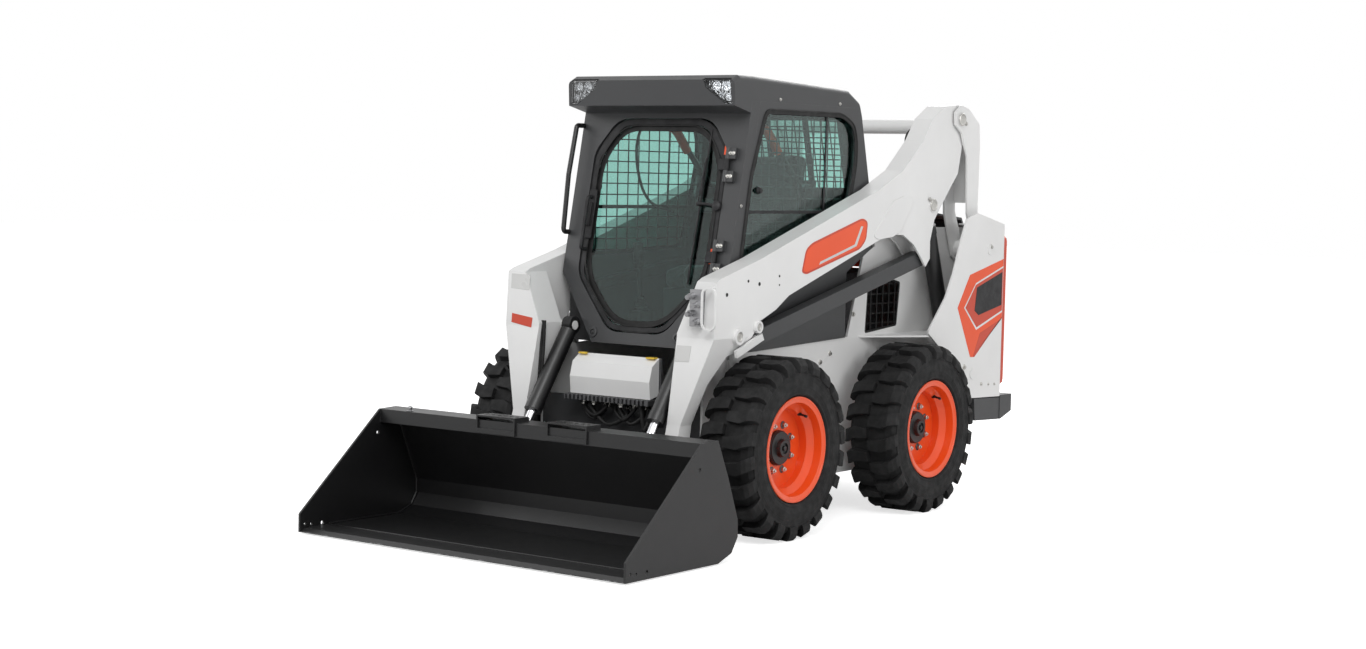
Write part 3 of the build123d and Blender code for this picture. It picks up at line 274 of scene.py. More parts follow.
def outward(outline, width):
    """A closed 2-D outline moved outward by width (inward where negative)."""
    size = sum(a[0] * b[1] - b[0] * a[1] for a, b in zip(outline, outline[1:] + outline[:1]))
    sign = 1.0 if size > 0 else -1.0
    moved = []
    for i, point in enumerate(outline):
        before = (Vector(point) - Vector(outline[i - 1])).normalized()
        after = (Vector(outline[(i + 1) % len(outline)]) - Vector(point)).normalized()
        n1, n2 = Vector((before.y, -before.x)), Vector((after.y, -after.x))
        mid = (n1 + n2).normalized()
        moved.append(tuple(Vector(point) + mid * (sign * width / max(0.4, mid.dot(n1)))))
    return moved


def rounded(outline, radius, steps=5):
    """A closed 2-D outline with its corners rounded."""
    points = []
    for i, point in enumerate(outline):
        corner = Vector(point)
        before, after = Vector(outline[i - 1]), Vector(outline[(i + 1) % len(outline)])
        reach = min(radius, (before - corner).length * 0.45, (after - corner).length * 0.45)
        a = corner + (before - corner).normalized() * reach
        b = corner + (after - corner).normalized() * reach
        for k in range(steps + 1):
            t = k / steps
            points.append(tuple(a * (1 - t) ** 2 + corner * (2 * t * (1 - t)) + b * t * t))
    return points


def spans(outline, value, axis):
    """Where the line axis = value runs inside a closed 2-D outline: pairs along the other axis."""
    cuts = []
    for a, b in zip(outline, outline[1:] + outline[:1]):
        if (a[axis] - value) * (b[axis] - value) < 0:
            t = (value - a[axis]) / (b[axis] - a[axis])
            cuts.append(a[1 - axis] + t * (b[1 - axis] - a[1 - axis]))
    cuts.sort()
    return list(zip(cuts[::2], cuts[1::2]))


def smooth_line(points, steps=6):
    """A smooth run through 3-D points."""
    points = [Vector(p) for p in points]
    ends = [points[0] * 2 - points[1]] + points + [points[-1] * 2 - points[-2]]
    run = []
    for i in range(1, len(ends) - 2):
        p0, p1, p2, p3 = ends[i - 1:i + 3]
        for k in range(steps):
            t = k / steps
            run.append(0.5 * (2 * p1 + (p2 - p0) * t + (2 * p0 - 5 * p1 + 4 * p2 - p3) * t * t
                              + (3 * p1 - p0 - 3 * p2 + p3) * t ** 3))
    return run + [points[-1]]


def circle(centre, across, along, radius, sides):
    """Points of a circle in the plane of two unit vectors."""
    angles = (2 * math.pi * k / sides for k in range(sides))
    return [centre + (across * math.cos(a) + along * math.sin(a)) * radius for a in angles]


def rect(a, b, low, high):
    """A rectangle's outline from a to b and from low to high."""
    return [(a, low), (b, low), (b, high), (a, high)]


def at_x(x, outline):
    """A (y, z) outline in the plane at x."""
    return [(x, y, z) for y, z in outline]


class Piece:
    """One mesh under way, in millimetres."""

    def __init__(self):
        self.mesh = bmesh.new()

    def rings(self, rings, closed=False):
        """A skin over rings of equal count: capped at both ends, or joined end to end."""
        rows = [[self.mesh.verts.new(p) for p in ring] for ring in rings]
        joined = list(zip(rows, rows[1:])) + ([(rows[-1], rows[0])] if closed else [])
        for a, b in joined:
            for i in range(len(a)):
                j = (i + 1) % len(a)
                self.mesh.faces.new((a[i], a[j], b[j], b[i]))
        if not closed:
            self.mesh.faces.new(rows[0])
            self.mesh.faces.new(rows[-1])
        return self

    def turned(self, origin, axis, profile, sides=28, closed=False):
        """(distance, radius) points turned about an axis."""
        axis = Vector(axis).normalized()
        side = axis.orthogonal().normalized()
        other = axis.cross(side)
        rings = []
        for distance, radius in profile:
            rings.append(circle(Vector(origin) + axis * distance, side, other, radius, sides))
        return self.rings(rings, closed)

    def slab(self, points, step):
        """A flat outline of 3-D points, thickened by a step."""
        step = Vector(step)
        return self.rings([[Vector(p) for p in points], [Vector(p) + step for p in points]])

    def tube(self, points, radius, sides=10, smooth=True, wave=0.0):
        """A round run through points; wave swells and narrows it in turn, as a weld bead."""
        run = smooth_line(points) if smooth else [Vector(p) for p in points]
        side = (run[1] - run[0]).orthogonal().normalized()
        rings = []
        for i, point in enumerate(run):
            ahead = (run[min(i + 1, len(run) - 1)] - run[max(i - 1, 0)]).normalized()
            side = (side - ahead * side.dot(ahead)).normalized()
            other = ahead.cross(side)
            r = radius * (1.0 + wave * (1.0 if i % 2 else -1.0))
            rings.append(circle(point, side, other, r, sides))
        return self.rings(rings)

    def wire(self, start, end):
        """A straight wire of a screen."""
        return self.tube([start, end], WIRE_R, 6, False)

    def band(self, outline, width, place, step):
        """A flat ring along a 2-D outline; place turns its points into space."""
        inner = outward(outline, -width)
        step = Vector(step)
        sets = [[Vector(place(*p)) for p in outline], [Vector(place(*p)) + step for p in outline],
                [Vector(place(*p)) + step for p in inner], [Vector(place(*p)) for p in inner]]
        return self.rings([list(ring) for ring in zip(*sets)], closed=True)

    def bolt(self, at, axis, radius):
        """Washer and a chamfered six-sided head."""
        self.turned(at, axis, [(-1.0, radius * 1.5), (1.6, radius * 1.5), (2.2, radius * 1.4)], 24)
        height = radius * 0.85
        return self.turned(at, axis, [(1.0, radius * 1.05), (height, radius * 1.05),
                                      (height + 2.0, radius * 0.85), (height + 2.0, radius * 0.4)], 6)

    def done(self, name, body, look, edge=0.0, both=False):
        """Makes the object; edge is a bevel in millimetres, both adds the mirror image."""
        if both:
            everything = self.mesh.verts[:] + self.mesh.edges[:] + self.mesh.faces[:]
            for item in bmesh.ops.duplicate(self.mesh, geom=everything)["geom"]:
                if isinstance(item, bmesh.types.BMVert):
                    item.co.x = -item.co.x
        bmesh.ops.recalc_face_normals(self.mesh, faces=self.mesh.faces[:])
        bmesh.ops.scale(self.mesh, vec=(MM, MM, MM), verts=self.mesh.verts[:])
        for face in self.mesh.faces:
            face.smooth = True
        for e in self.mesh.edges:
            e.smooth = e.calc_face_angle(0.0) < SMOOTH_ANGLE
        data = bpy.data.meshes.new(name)
        self.mesh.to_mesh(data)
        self.mesh.free()
        obj = bpy.data.objects.new(name, data)
        bpy.context.collection.objects.link(obj)
        data.materials.append(M[look])
        if edge:
            bevel = obj.modifiers.new("edge", "BEVEL")
            bevel.width = edge * MM
            bevel.segments = 2
            bevel.angle_limit = 0.7
        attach(obj, body)
        return obj


# ---------------------------------------------------------------- faces of the machine
LEAN = 0.2                                # the cab's front leans back by this per unit of height
STRETCH = (1 + LEAN ** 2) ** 0.5          # length along that front per unit of height
OUT = Vector((0.0, -1.0, LEAN)).normalized()
CAB_FRONT_Y, CAB_FRONT_Z = -494.0, 1092.0     # a point of that front
CAB_SIDE_X = 450.0
ARM_SIDE_X, UPRIGHT_SIDE_X = 563.0, 640.0     # the outer faces of arms and uprights


def front(x, z, out=0.0):
    """A point of the cab's leaning front face, moved out of it."""
    return Vector((x, CAB_FRONT_Y + LEAN * (z - CAB_FRONT_Z), z)) + OUT * out


def on_front(out, outline):
    """An (x, z) outline on the cab's leaning front face, moved out of it."""
    return [front(x, z, out) for x, z in outline]


def side(x):
    """Places a (y, z) point in the plane at x."""
    return lambda y, z: (x, y, z)


def side_bolts(name, x, rows):
    """Bolt heads on both sides of the machine, from rows of (y, z, radius)."""
    heads = Piece()
    for y, z, r in rows:
        heads.bolt((x, y, z), X_AXIS, r)
    heads.done(name, "chassis", "zinc", both=True)


def weld_rings(name, body, look, x, centre, radius, half_turn):
    """Beads round both ends of a cross tube, where it meets the plates at x."""
    y, z = centre
    angles = [math.pi * k / half_turn for k in range(2 * half_turn + 1)]
    ring = [(y + radius * math.cos(a), z + radius * math.sin(a)) for a in angles]
    beads = Piece()
    for s in (-1, 1):
        beads.tube(at_x(s * x, ring), 4.5, 8, False, 0.12)
    beads.done(name, body, look)


def decal(name, body, look, x, outline, thick, edge=0.0):
    """A thin film on the machine's left side."""
    Piece().slab(at_x(x, outline), (thick, 0, 0)).done(name, body, look, edge)


# ---------------------------------------------------------------- wheels
WHEELS = {"front_left_wheel": (1, -390.0), "front_right_wheel": (-1, -390.0),
          "rear_left_wheel": (1, 735.0), "rear_right_wheel": (-1, 735.0)}     # side, axle's y
AXLE_Z = 386.5
HUB_FACE_X, RIM_FACE_X, RIM_WELL_X = 650.0, 745.0, 688.0
NUTS, NUT_CIRCLE_R = 8, 101.6
VALVE_CIRCLE_R, VALVE_ANGLE, VALVE_LEAN = 176.0, math.radians(52.0), 0.25
# (distance, radius) profiles
WASHER = [(-1.0, 17.0), (1.5, 17.0), (4.0, 13.0)]
NUT = [(1.0, 11.5), (15.0, 11.5), (17.0, 9.6), (17.0, 6.5), (22.0, 6.5), (23.0, 5.5)]
HUB_CAP = [(16.0, 72.0), (21.5, 70.0), (22.0, 40.0), (32.0, 37.0), (40.0, 34.0),
           (41.0, 24.0), (33.0, 22.0), (33.0, 12.0), (42.0, 10.0), (43.0, 8.0)]
RIM_LIP = [(0, 212.0), (5.6, 215.0), (6.4, 219.0), (5.0, 223.2), (0, 224.0)]
VALVE = [(-4.0, 10.0), (4.0, 8.0), (10.0, 5.0), (30.0, 4.5), (31.0, 6.0), (42.0, 6.0), (43.0, 4.0)]
SIDEWALL_RIBS = ((753.6, 238.0, 3.4), (758.6, 257.0, 1.2), (757.6, 300.0, 1.3),
                 (754.6, 321.0, 3.0))                                         # x, radius, half width
for body, (s, y) in WHEELS.items():
    axis, hub = (s, 0, 0), Vector((s * HUB_FACE_X, y, AXLE_Z))
    nuts, washers = Piece(), Piece()
    for k in range(NUTS):
        a = 2 * math.pi * (k + 0.5) / NUTS
        at = hub + Vector((0.0, math.cos(a), math.sin(a))) * NUT_CIRCLE_R
        washers.turned(at, axis, WASHER, 20)
        nuts.turned(at, axis, NUT, 6)
    washers.done(body + "_washers", body, "iron")
    nuts.done(body + "_nuts", body, "zinc", 0.4)
    Piece().turned(hub, axis, HUB_CAP, 40).done(body + "_cap", body, "black")
    ribs = Piece()
    for x, r, w in SIDEWALL_RIBS:
        ribs.turned((s * (x - 2.0), y, AXLE_Z), axis,
                    [(0, r - 2 * w), (w + 1.4, r - w), (w + 1.6, r + w), (0, r + 2 * w)], 96, True)
    ribs.done(body + "_sidewall_ribs", body, "rubber")
    lip = Piece().turned((s * RIM_FACE_X, y, AXLE_Z), axis, RIM_LIP, 96, True)
    lip.done(body + "_rim_lip", body, "orange")
    across, up = math.cos(VALVE_ANGLE), math.sin(VALVE_ANGLE)
    foot = Vector((s * RIM_WELL_X, y + VALVE_CIRCLE_R * across, AXLE_Z + VALVE_CIRCLE_R * up))
    valve = Piece().turned(foot, (s, -VALVE_LEAN * across, -VALVE_LEAN * up), VALVE, 16)
    valve.done(body + "_valve", body, "hose")

# ---------------------------------------------------------------- cab windows, screens and seals
SIDE_WINDOW = [(-413.0, 1150.0), (-343.0, 1534.0), (-240.0, 1810.0), (370.0, 1814.0), (470.0, 1770.0),
               (497.0, 1690.0), (494.0, 1582.0), (450.0, 1415.0), (380.0, 1180.0)]
SCREEN_X, SCREEN_ROW = 412.0, 50
window = rounded(SIDE_WINDOW, 40.0)
for s, name, pitch in ((1, "left", 58), (-1, "right", 77)):
    wires = Piece()
    x = s * SCREEN_X
    for y in range(-390, 500, pitch):
        for low, high in spans(window, y, 0):
            wires.wire((x, y, low - 4.0), (x, y, high + 4.0))
    x = s * (SCREEN_X - 5.0)
    for z in range(1180, 1815, SCREEN_ROW):
        for low, high in spans(window, z, 1):
            wires.wire((x, low - 4.0, z), (x, high + 4.0, z))
    wires.done(name + "_window_screen", "chassis", "black")
seal = Piece().band(outward(window, 7.0), 24.0, side(CAB_SIDE_X + 0.1), (2.6, 0, 0))
seal.band(outward(window, 5.0), 7.0, side(CAB_SIDE_X + 2.0), (3.0, 0, 0))
seal.done("side_window_seals", "chassis", "hose", 0.9, True)
divider = Piece().slab(at_x(434.5, rect(-392.0, 420.0, 1366.0, 1380.0)), (5.0, 0, 0))
divider.slab(at_x(434.4, [(243.0, 1372.0), (256.0, 1372.0), (268.0, 1812.0), (255.0, 1812.0)]), (4.0, 0, 0))
divider.done("side_window_dividers", "chassis", "plastic", 1.2, True)
knob = Piece().turned((434.0, -264.0, 1465.0), X_AXIS,
                      [(0, 17.0), (6.0, 17.0), (9.0, 13.0), (16.0, 12.0), (18.0, 9.0)], 24)
knob.slab(at_x(440.0, [(-290.0, 1459.0), (-262.0, 1457.0), (-262.0, 1473.0), (-290.0, 1471.0)]), (7.0, 0, 0))
knob.done("side_window_latches", "chassis", "plastic", 0.8, True)


def rear_point(x, z):
    """A point of the screen behind the cab's sloping rear window."""
    return Vector((x, 500.0 + (1790.0 - z) * 79.0 / 310.0, z))


screen = Piece()
for x in range(-288, 289, 48):
    screen.wire(rear_point(x, 1483.0), rear_point(x, 1787.0))
for z in range(1510, 1761, SCREEN_ROW):
    screen.wire(rear_point(-326.0, z), rear_point(326.0, z))
screen.done("rear_window_screen", "chassis", "black")
posts = Piece()
for x in (-62.0, 150.0):
    posts.slab([rear_point(*p) for p in rect(x, x + 26.0, 1482.0, 1788.0)], (0, -14.0, 0))
posts.done("rear_window_posts", "chassis", "plastic", 1.5)

# ---------------------------------------------------------------- door trim
HINGE_HEIGHTS = (1200.0, 1600.0)


def door_outline(inset):
    """The door's opening, made smaller all round by an inset."""
    w, top, low = 365.0 - inset, 1770.0 - inset, 838.0 + inset
    return [(-150.0 + inset * 0.4, low), (150.0 - inset * 0.4, low), (w, 1080.0), (w, top - 150.0),
            (w - 110.0, top), (-w + 110.0, top), (-w, top - 150.0), (-w, 1080.0)]


def front_band(name, body, outline, width, out, thick, edge=0.0):
    """A flat ring on the cab's leaning front."""
    ring = Piece().band(outline, width, lambda x, z: front(x, z, out), OUT * thick)
    ring.done(name, body, "hose", edge)


glass_edge = rounded(door_outline(30.0), 100.0, 8)
door_edge = rounded(door_outline(4.5), 110.0, 8)
front_band("door_glass_border", "door", outward(glass_edge, -0.6), 24.0, -13.6, 1.4)
front_band("door_glass_bead", "door", outward(glass_edge, 3.0), 7.0, -5.0, 4.0, 1.2)
front_band("door_weather_strip", "chassis", outward(door_edge, 3.0), 8.0, -12.0, 7.0, 1.5)
wiper = Piece()
wiper.tube([front(241.0, 1061.0, -4.0), front(247.0, 1280.0, -1.0), front(259.0, 1724.0, -4.0)], 4.2, 8)
wiper.tube([front(240.0, 1402.0, 4.0), front(252.0, 1500.0, 9.0), front(255.0, 1600.0, 5.0),
            front(252.0, 1440.0, 5.0)], 3.4, 8)
wiper.tube([front(341.0, 1396.0, 2.0), front(300.0, 1400.0, 12.0), front(246.0, 1404.0, 8.0)], 6.5, 10)
wiper.turned(front(341.0, 1396.0, -4.0), OUT, [(0, 22.0), (14.0, 21.0), (18.0, 14.0), (22.0, 8.0)], 24)
wiper.turned(front(246.0, 1404.0, -6.0), OUT, [(0, 12.0), (16.0, 11.0), (19.0, 7.0)], 16)
wiper.done("wiper", "door", "plastic")
blade = on_front(-12.0, [(236.0, 1066.0), (241.0, 1066.0), (258.0, 1720.0), (253.0, 1720.0)])
Piece().slab(blade, OUT * 8.0).done("wiper_blade", "door", "hose", 0.8)
motor = on_front(-44.0, rect(212.0, 332.0, 1372.0, 1430.0))
Piece().slab(motor, OUT * 22.0).done("wiper_motor", "door", "plastic", 6.0)
stay_bolts, leaf_bolts = Piece(), Piece()
for height in HINGE_HEIGHTS:
    for up in (-50.0, 50.0):
        for x in (386.0, 402.0):
            stay_bolts.bolt(front(x, (height + up) / STRETCH, 18.0), OUT, 6.0)
    for up in (-14.0, 14.0):
        leaf_bolts.bolt(front(343.0, (height + up) / STRETCH, 9.0), OUT, 5.0)
stay_bolts.done("door_hinge_bolts", "chassis", "zinc")
leaf_bolts.done("door_leaf_bolts", "door", "zinc")
strips = Piece()
for low, high in ((1615.0, 1672.0), (1150.0, 1215.0)):
    strips.slab(on_front(-3.4, rect(338.0, 350.0, low, high)), OUT * 1.4)
strips.done("door_reflectors", "door", "orange", 0.4)
latch = Piece().slab(on_front(-3.0, rect(-356.0, -316.0, 1236.0, 1452.0)), OUT * 9.0)
latch.slab(on_front(5.0, rect(-352.0, -328.0, 1290.0, 1395.0)), OUT * 12.0)
latch.done("door_latch_plate", "door", "plastic", 3.0)
eye = Piece().turned(front(-230.0, 830.0, -1.0), OUT,
                     [(0, 23.0), (6.0, 23.0), (7.0, 21.0), (7.0, 13.0), (0, 12.0)], 32, True)
eye.bolt(front(-230.0, 830.0), OUT, 6.0)
eye.done("cab_front_eyes", "chassis", "charcoal", 0.5, True)

# ---------------------------------------------------------------- lamps
LAMP = [(288.0, 1928.0), (427.0, 1928.0), (434.5, 1829.0), (402.0, 1829.0), (303.0, 1893.0)]
BOWL_Y = -446.0
BOWLS = ((352.0, 1904.0, 21.0, 6.0), (402.0, 1902.0, 22.0, 6.5), (414.0, 1856.0, 15.0, 4.5),
         (376.0, 1866.0, 13.0, 4.0))                        # x, z, radius, radius of its bulb


def lamp_point(x, z, back=0.0):
    """A point of the lens, which leans a little."""
    return Vector((x, -472.4 - 6.0 * (z - 1820.0) / 110.0 + back, z))


lens = Piece().slab([lamp_point(*p) for p in rounded(LAMP, 8.0)], (0, 3.0, 0))
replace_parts(lens.done("head_lamp_lenses", "chassis", "lens", 0.8, True), "head_lamps")
bowls = Piece().slab([(x, BOWL_Y, z) for x, z in outward(LAMP, 4.0)], (0, 3.0, 0))
bulbs = Piece()
for x, z, r, bulb in BOWLS:
    bowls.turned((x, BOWL_Y, z), (0, -1, 0), [(0, 5.0), (5.0, r * 0.62), (13.0, r * 0.88), (22.0, r),
                                              (22.0, r - 1.4), (13.0, r * 0.82), (6.0, r * 0.5)], 24)
    bulbs.turned((x, BOWL_Y, z), (0, -1, 0),
                 [(0, bulb), (12.0, bulb), (15.0, bulb * 0.7), (16.0, bulb * 0.3)], 16)
bowls.done("head_lamp_reflectors", "chassis", "reflector", both=True)
bulbs.done("head_lamp_bulbs", "chassis", "lens", both=True)
rim = Piece().band(outward(LAMP, 5.0), 6.0, lambda x, z: lamp_point(x, z, 0.6), (0, 25.0, 0))
rim.done("head_lamp_rims", "chassis", "plastic", 0.8, True)

# ---------------------------------------------------------------- arms and uprights
BADGE = [(-105.0, 1116.0), (-74.0, 1215.0), (-28.0, 1242.0), (380.0, 1350.0), (427.0, 1334.0),
         (415.0, 1251.0), (366.0, 1211.0), (-69.0, 1106.0)]
STRIPE = [(40.0, 1160.0), (318.0, 1232.0), (368.0, 1313.0), (386.0, 1312.0), (334.0, 1224.0), (30.0, 1146.0)]
CHEVRON = [(1569.0, 1149.0), (1240.0, 1078.0), (1129.0, 924.0), (1264.0, 683.0), (1304.0, 681.0),
           (1569.0, 866.0), (1569.0, 888.0), (1315.0, 811.0), (1191.0, 922.0), (1301.0, 1038.0),
           (1569.0, 1115.0)]
LOWER = [(1569.0, 866.0), (1304.0, 681.0), (1290.0, 682.0), (1352.0, 795.0), (1569.0, 858.0)]
PLATE = [(1567.0, 1105.0), (1302.0, 1029.0), (1205.0, 922.0), (1318.0, 824.0), (1567.0, 898.0)]
INSET = [(1560.0, 1086.0), (1310.0, 1016.0), (1292.0, 905.0), (1332.0, 882.0), (1560.0, 924.0)]
badge_inset = rounded(outward(BADGE, -9.0), 16.0)
decal("arm_badge_fields", "lift_arm", "badge", ARM_SIDE_X + 0.1, rounded(BADGE, 22.0), 0.8)
decal("arm_badge_insets", "lift_arm", "orange", ARM_SIDE_X + 0.8, badge_inset, 0.6)
decal("arm_badge_stripes", "lift_arm", "label", ARM_SIDE_X + 1.4, STRIPE, 0.5)
decal("upright_chevrons", "chassis", "orange", UPRIGHT_SIDE_X + 0.1, CHEVRON, 0.8)
decal("upright_chevron_shades", "chassis", "badge", UPRIGHT_SIDE_X + 0.5, LOWER, 0.7)
decal("upright_blank_plates", "chassis", "badge", UPRIGHT_SIDE_X + 0.3, PLATE, 0.9)
decal("upright_blank_insets", "chassis", "plastic", UPRIGHT_SIDE_X + 1.0, INSET, 0.8, 0.3)
plugs = Piece()
for y, z, r in ((-423.0, 1074.0, 7.0), (-274.0, 1104.0, 4.0), (-273.0, 1066.0, 3.0), (-658.0, 1035.0, 7.0),
                (-505.0, 1088.0, 5.0)):
    plugs.turned((ARM_SIDE_X - 0.4, y, z), X_AXIS, [(0, r + 1.6), (1.2, r + 1.2), (0.9, r)], 20)
plugs.done("arm_side_plugs", "lift_arm", "hose", both=True)
arm_pins = Piece()
for y, z, r, x in ((1000.0, 1410.0, 29.0, 567.0), (-575.0, 857.0, 21.0, 569.0), (-433.0, 893.0, 15.0, 569.0)):
    arm_pins.turned((x, y, z), X_AXIS,
                    [(0, r), (5.0, r), (7.0, r - 2.5), (5.4, r - 6.0), (5.2, r * 0.35)], 32)
arm_pins.bolt((568.0, 966.0, 1436.0), X_AXIS, 7.0)
arm_pins.done("arm_pin_ends", "lift_arm", "zinc", both=True)
link_pins = Piece()
for y, z, r, x in ((1215.0, 1817.0, 30.0, 588.0), (1432.0, 1195.0, 30.0, 579.0)):
    link_pins.turned((x, y, z), X_AXIS,
                     [(0, r), (4.0, r), (6.0, r - 3.0), (4.8, r - 8.0), (4.6, r * 0.35)], 32)
link_pins.bolt((580.0, 1262.0, 1800.0), X_AXIS, 8.0)
link_pins.done("link_pin_ends", "rear_link", "zinc", both=True)
weld_rings("cross_tube_welds", "lift_arm", "charcoal", 382.0, (-755.0, 350.0), 50.0, 16)
weld_rings("link_tube_welds", "rear_link", "white", 443.0, (1345.0, 1785.0), 38.0, 14)
side_bolts("upright_bolts", UPRIGHT_SIDE_X, (
    (1209.0, 638.0, 9.0), (1381.0, 546.0, 6.0), (1452.0, 541.0, 4.5), (1512.0, 538.0, 4.5),
    (1439.0, 1209.0, 9.0)))
side_bolts("cab_side_bolts", CAB_SIDE_X, (
    (-133.0, 1859.0, 5.0), (345.0, 1858.0, 5.0), (525.0, 1458.0, 6.0), (-411.0, 1399.0, 5.0),
    (211.0, 941.0, 7.0), (301.0, 967.0, 5.0)))
side_bolts("frame_side_bolts", 440.0, (
    (250.0, 700.0, 8.0), (330.0, 735.0, 8.0), (520.0, 905.0, 8.0), (555.0, 1040.0, 8.0)))
LEG_BEND_Y, LEG_BEND_Z = -743.0, 853.0        # where the front face of the arm's leg bends


def leg_point(x, z):
    """A point just before that face, which leans back less above the bend than below it."""
    rise = z - LEG_BEND_Z
    lean = rise * 12.0 / 235.0 if rise > 0 else rise * 71.0 / 360.0
    return x, LEG_BEND_Y + lean - 0.9, z


for name, corners, look in (
        ("left", [(380.0, 820.0), (455.0, 821.0), (452.0, 755.0), (376.0, 753.0)], "label"),
        ("right", [(-543.0, 1078.0), (-436.0, 1076.0), (-438.0, 1008.0), (-543.0, 1014.0)], "label"),
        ("low", [(-530.0, 905.0), (-412.0, 890.0), (-416.0, 847.0), (-532.0, 865.0)], "badge")):
    film = Piece().slab([leg_point(*p) for p in corners], (0, 0.8, 0))
    film.done("blank_label_" + name, "lift_arm", look, 0.2)

# ---------------------------------------------------------------- hoses
hoses = Piece()
for i in range(3):
    x = 604.0 + 9.0 * (i % 2)
    hoses.tube([(x, 1150.0 + 26.0 * i, 1010.0), (x, 1165.0 + 24.0 * i, 1120.0),
                (x, 1210.0 + 22.0 * i, 1205.0), (x, 1290.0 + 20.0 * i, 1240.0)], 9.0)
hoses.done("upright_hoses", "chassis", "hose", both=True)
loops, ends = Piece(), Piece()
for i in range(4):
    x = 300.0 + 22.0 * i
    loops.tube([(x, 1345.0, 1768.0), (290.0 + 26.0 * i, 1235.0 + 10.0 * i, 1762.0),
                (300.0 + 24.0 * i, 1190.0 + 12.0 * i, 1700.0), (340.0 + 18.0 * i, 1240.0, 1660.0),
                (400.0 + 8.0 * i, 1330.0, 1690.0)], 10.0)
    ends.turned((x, 1345.0, 1772.0), (0.08, -1.0, -0.1), [(0, 13.0), (26.0, 13.0), (30.0, 11.0)], 6)
loops.done("link_hoses", "rear_link", "hose")
ends.done("link_hose_ends", "rear_link", "zinc", 0.5)
legs = Piece()
for i in range(2):
    legs.tube([(378.0 - 14.0 * i, -716.0, 880.0), (372.0 - 14.0 * i, -728.0, 760.0),
               (372.0 - 12.0 * i, -742.0, 600.0), (376.0 - 10.0 * i, -760.0, 440.0)], 7.0)
legs.done("arm_leg_hoses", "lift_arm", "hose", both=True)
# x where a hose leaves the fittings, x where it ends, height of its lowest point
FRONT_RUNS = [(-170.0, -60.0, 470.0), (-120.0, 60.0, 452.0), (-40.0, -150.0, 486.0),
              (30.0, 150.0, 462.0), (110.0, 10.0, 478.0), (160.0, 190.0, 440.0)]
FRONT_HOSE_Y = -668.0
runs, knots = Piece(), Piece()
for i, (x, far, low) in enumerate(FRONT_RUNS):
    deep = -676.0 - 7.0 * (i % 3)
    runs.tube([(x, FRONT_HOSE_Y, 552.0), (x, deep, 520.0), ((x + far) / 2, deep - 4.0, low),
               (far, deep + 4.0, low + 34.0), (far, -660.0, low + 70.0)], 8.0 + 1.5 * (i % 2))
    knots.turned((x, FRONT_HOSE_Y, 556.0), (0.0, -0.2, -1.0),
                 [(0, 14.0), (20.0, 14.0), (21.0, 11.5), (30.0, 11.0)], 6)
    knots.turned((far, -648.0, low + 78.0), (0.0, -0.5, -0.6),
                 [(0, 14.0), (14.0, 14.0), (15.0, 11.0), (24.0, 10.0)], 6)
runs.done("front_hoses", "chassis", "hose")
knots.done("front_hose_ends", "chassis", "zinc", 0.6)

# ---------------------------------------------------------------- front panel
lo, hi = (v * 1000.0 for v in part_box("front_panel"))
panel_top = hi.z - 3.0
accent = Piece()
for s in (-1, 1):
    corners = ((160.0, 44.0), (206.0, 44.0), (206.0, 70.0), (172.0, 70.0))
    accent.slab([(s * x, lo.y + back, panel_top) for x, back in corners], (0, 0, 7.0))
accent.done("front_panel_accents", "chassis", "yellow")

# ---------------------------------------------------------------- bucket
BUCKET_LINE = [(-1122.0, 478.0), (-990.0, 172.0), (-988.0, 108.0), (-1022.0, 56.0), (-1100.0, 26.0),
               (-1530.0, 26.0)]                # the shell's inner face, from top to lip
BUCKET_INNER_X, BEAD_STEP = 851.5, 7.0
beads = Piece()
for s in (-1, 1):
    run = []
    for (y0, z0), (y1, z1) in zip(BUCKET_LINE, BUCKET_LINE[1:]):
        count = max(2, int(math.hypot(y1 - y0, z1 - z0) / BEAD_STEP))
        run += [(s * BUCKET_INNER_X, y0 + (y1 - y0) * k / count - 2.0, z0 + (z1 - z0) * k / count + 1.0)
                for k in range(count)]
    beads.tube(run, 5.0, 8, False, 0.14)
beads.tube([(x, -1532.0, 25.0) for x in range(-850, 851, 8)], 4.0, 6, False, 0.15)
beads.done("bucket_welds", "bucket", "black")
nub = Piece().turned((-700.0, -1200.0, 492.0), (0, 0, 1), [
    (0, 15.0), (2.0, 15.0), (2.0, 8.0), (10.0, 11.0), (15.0, 11.5), (19.0, 9.0), (21.0, 4.0)], 24)
nub.done("bucket_top_nub", "bucket", "steel")

# ---------------------------------------------------------------- rear
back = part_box("tailgate")[1].y * 1000.0
decal("tailgate_edge_strips", "tailgate", "badge", 630.2, rect(1577.0, 1612.0, 540.0, 1250.0), 1.0, 0.3)
handle = Piece().slab([(x, back - 1.0, z) for x, z in rect(500.0, 560.0, 820.0, 960.0)], (0, 5.0, 0))
handle.tube([(530.0, back + 2.0, 840.0), (530.0, back + 26.0, 858.0), (530.0, back + 28.0, 890.0),
             (530.0, back + 26.0, 922.0), (530.0, back + 2.0, 940.0)], 8.0)
handle.done("tailgate_handle", "tailgate", "plastic", 1.5)

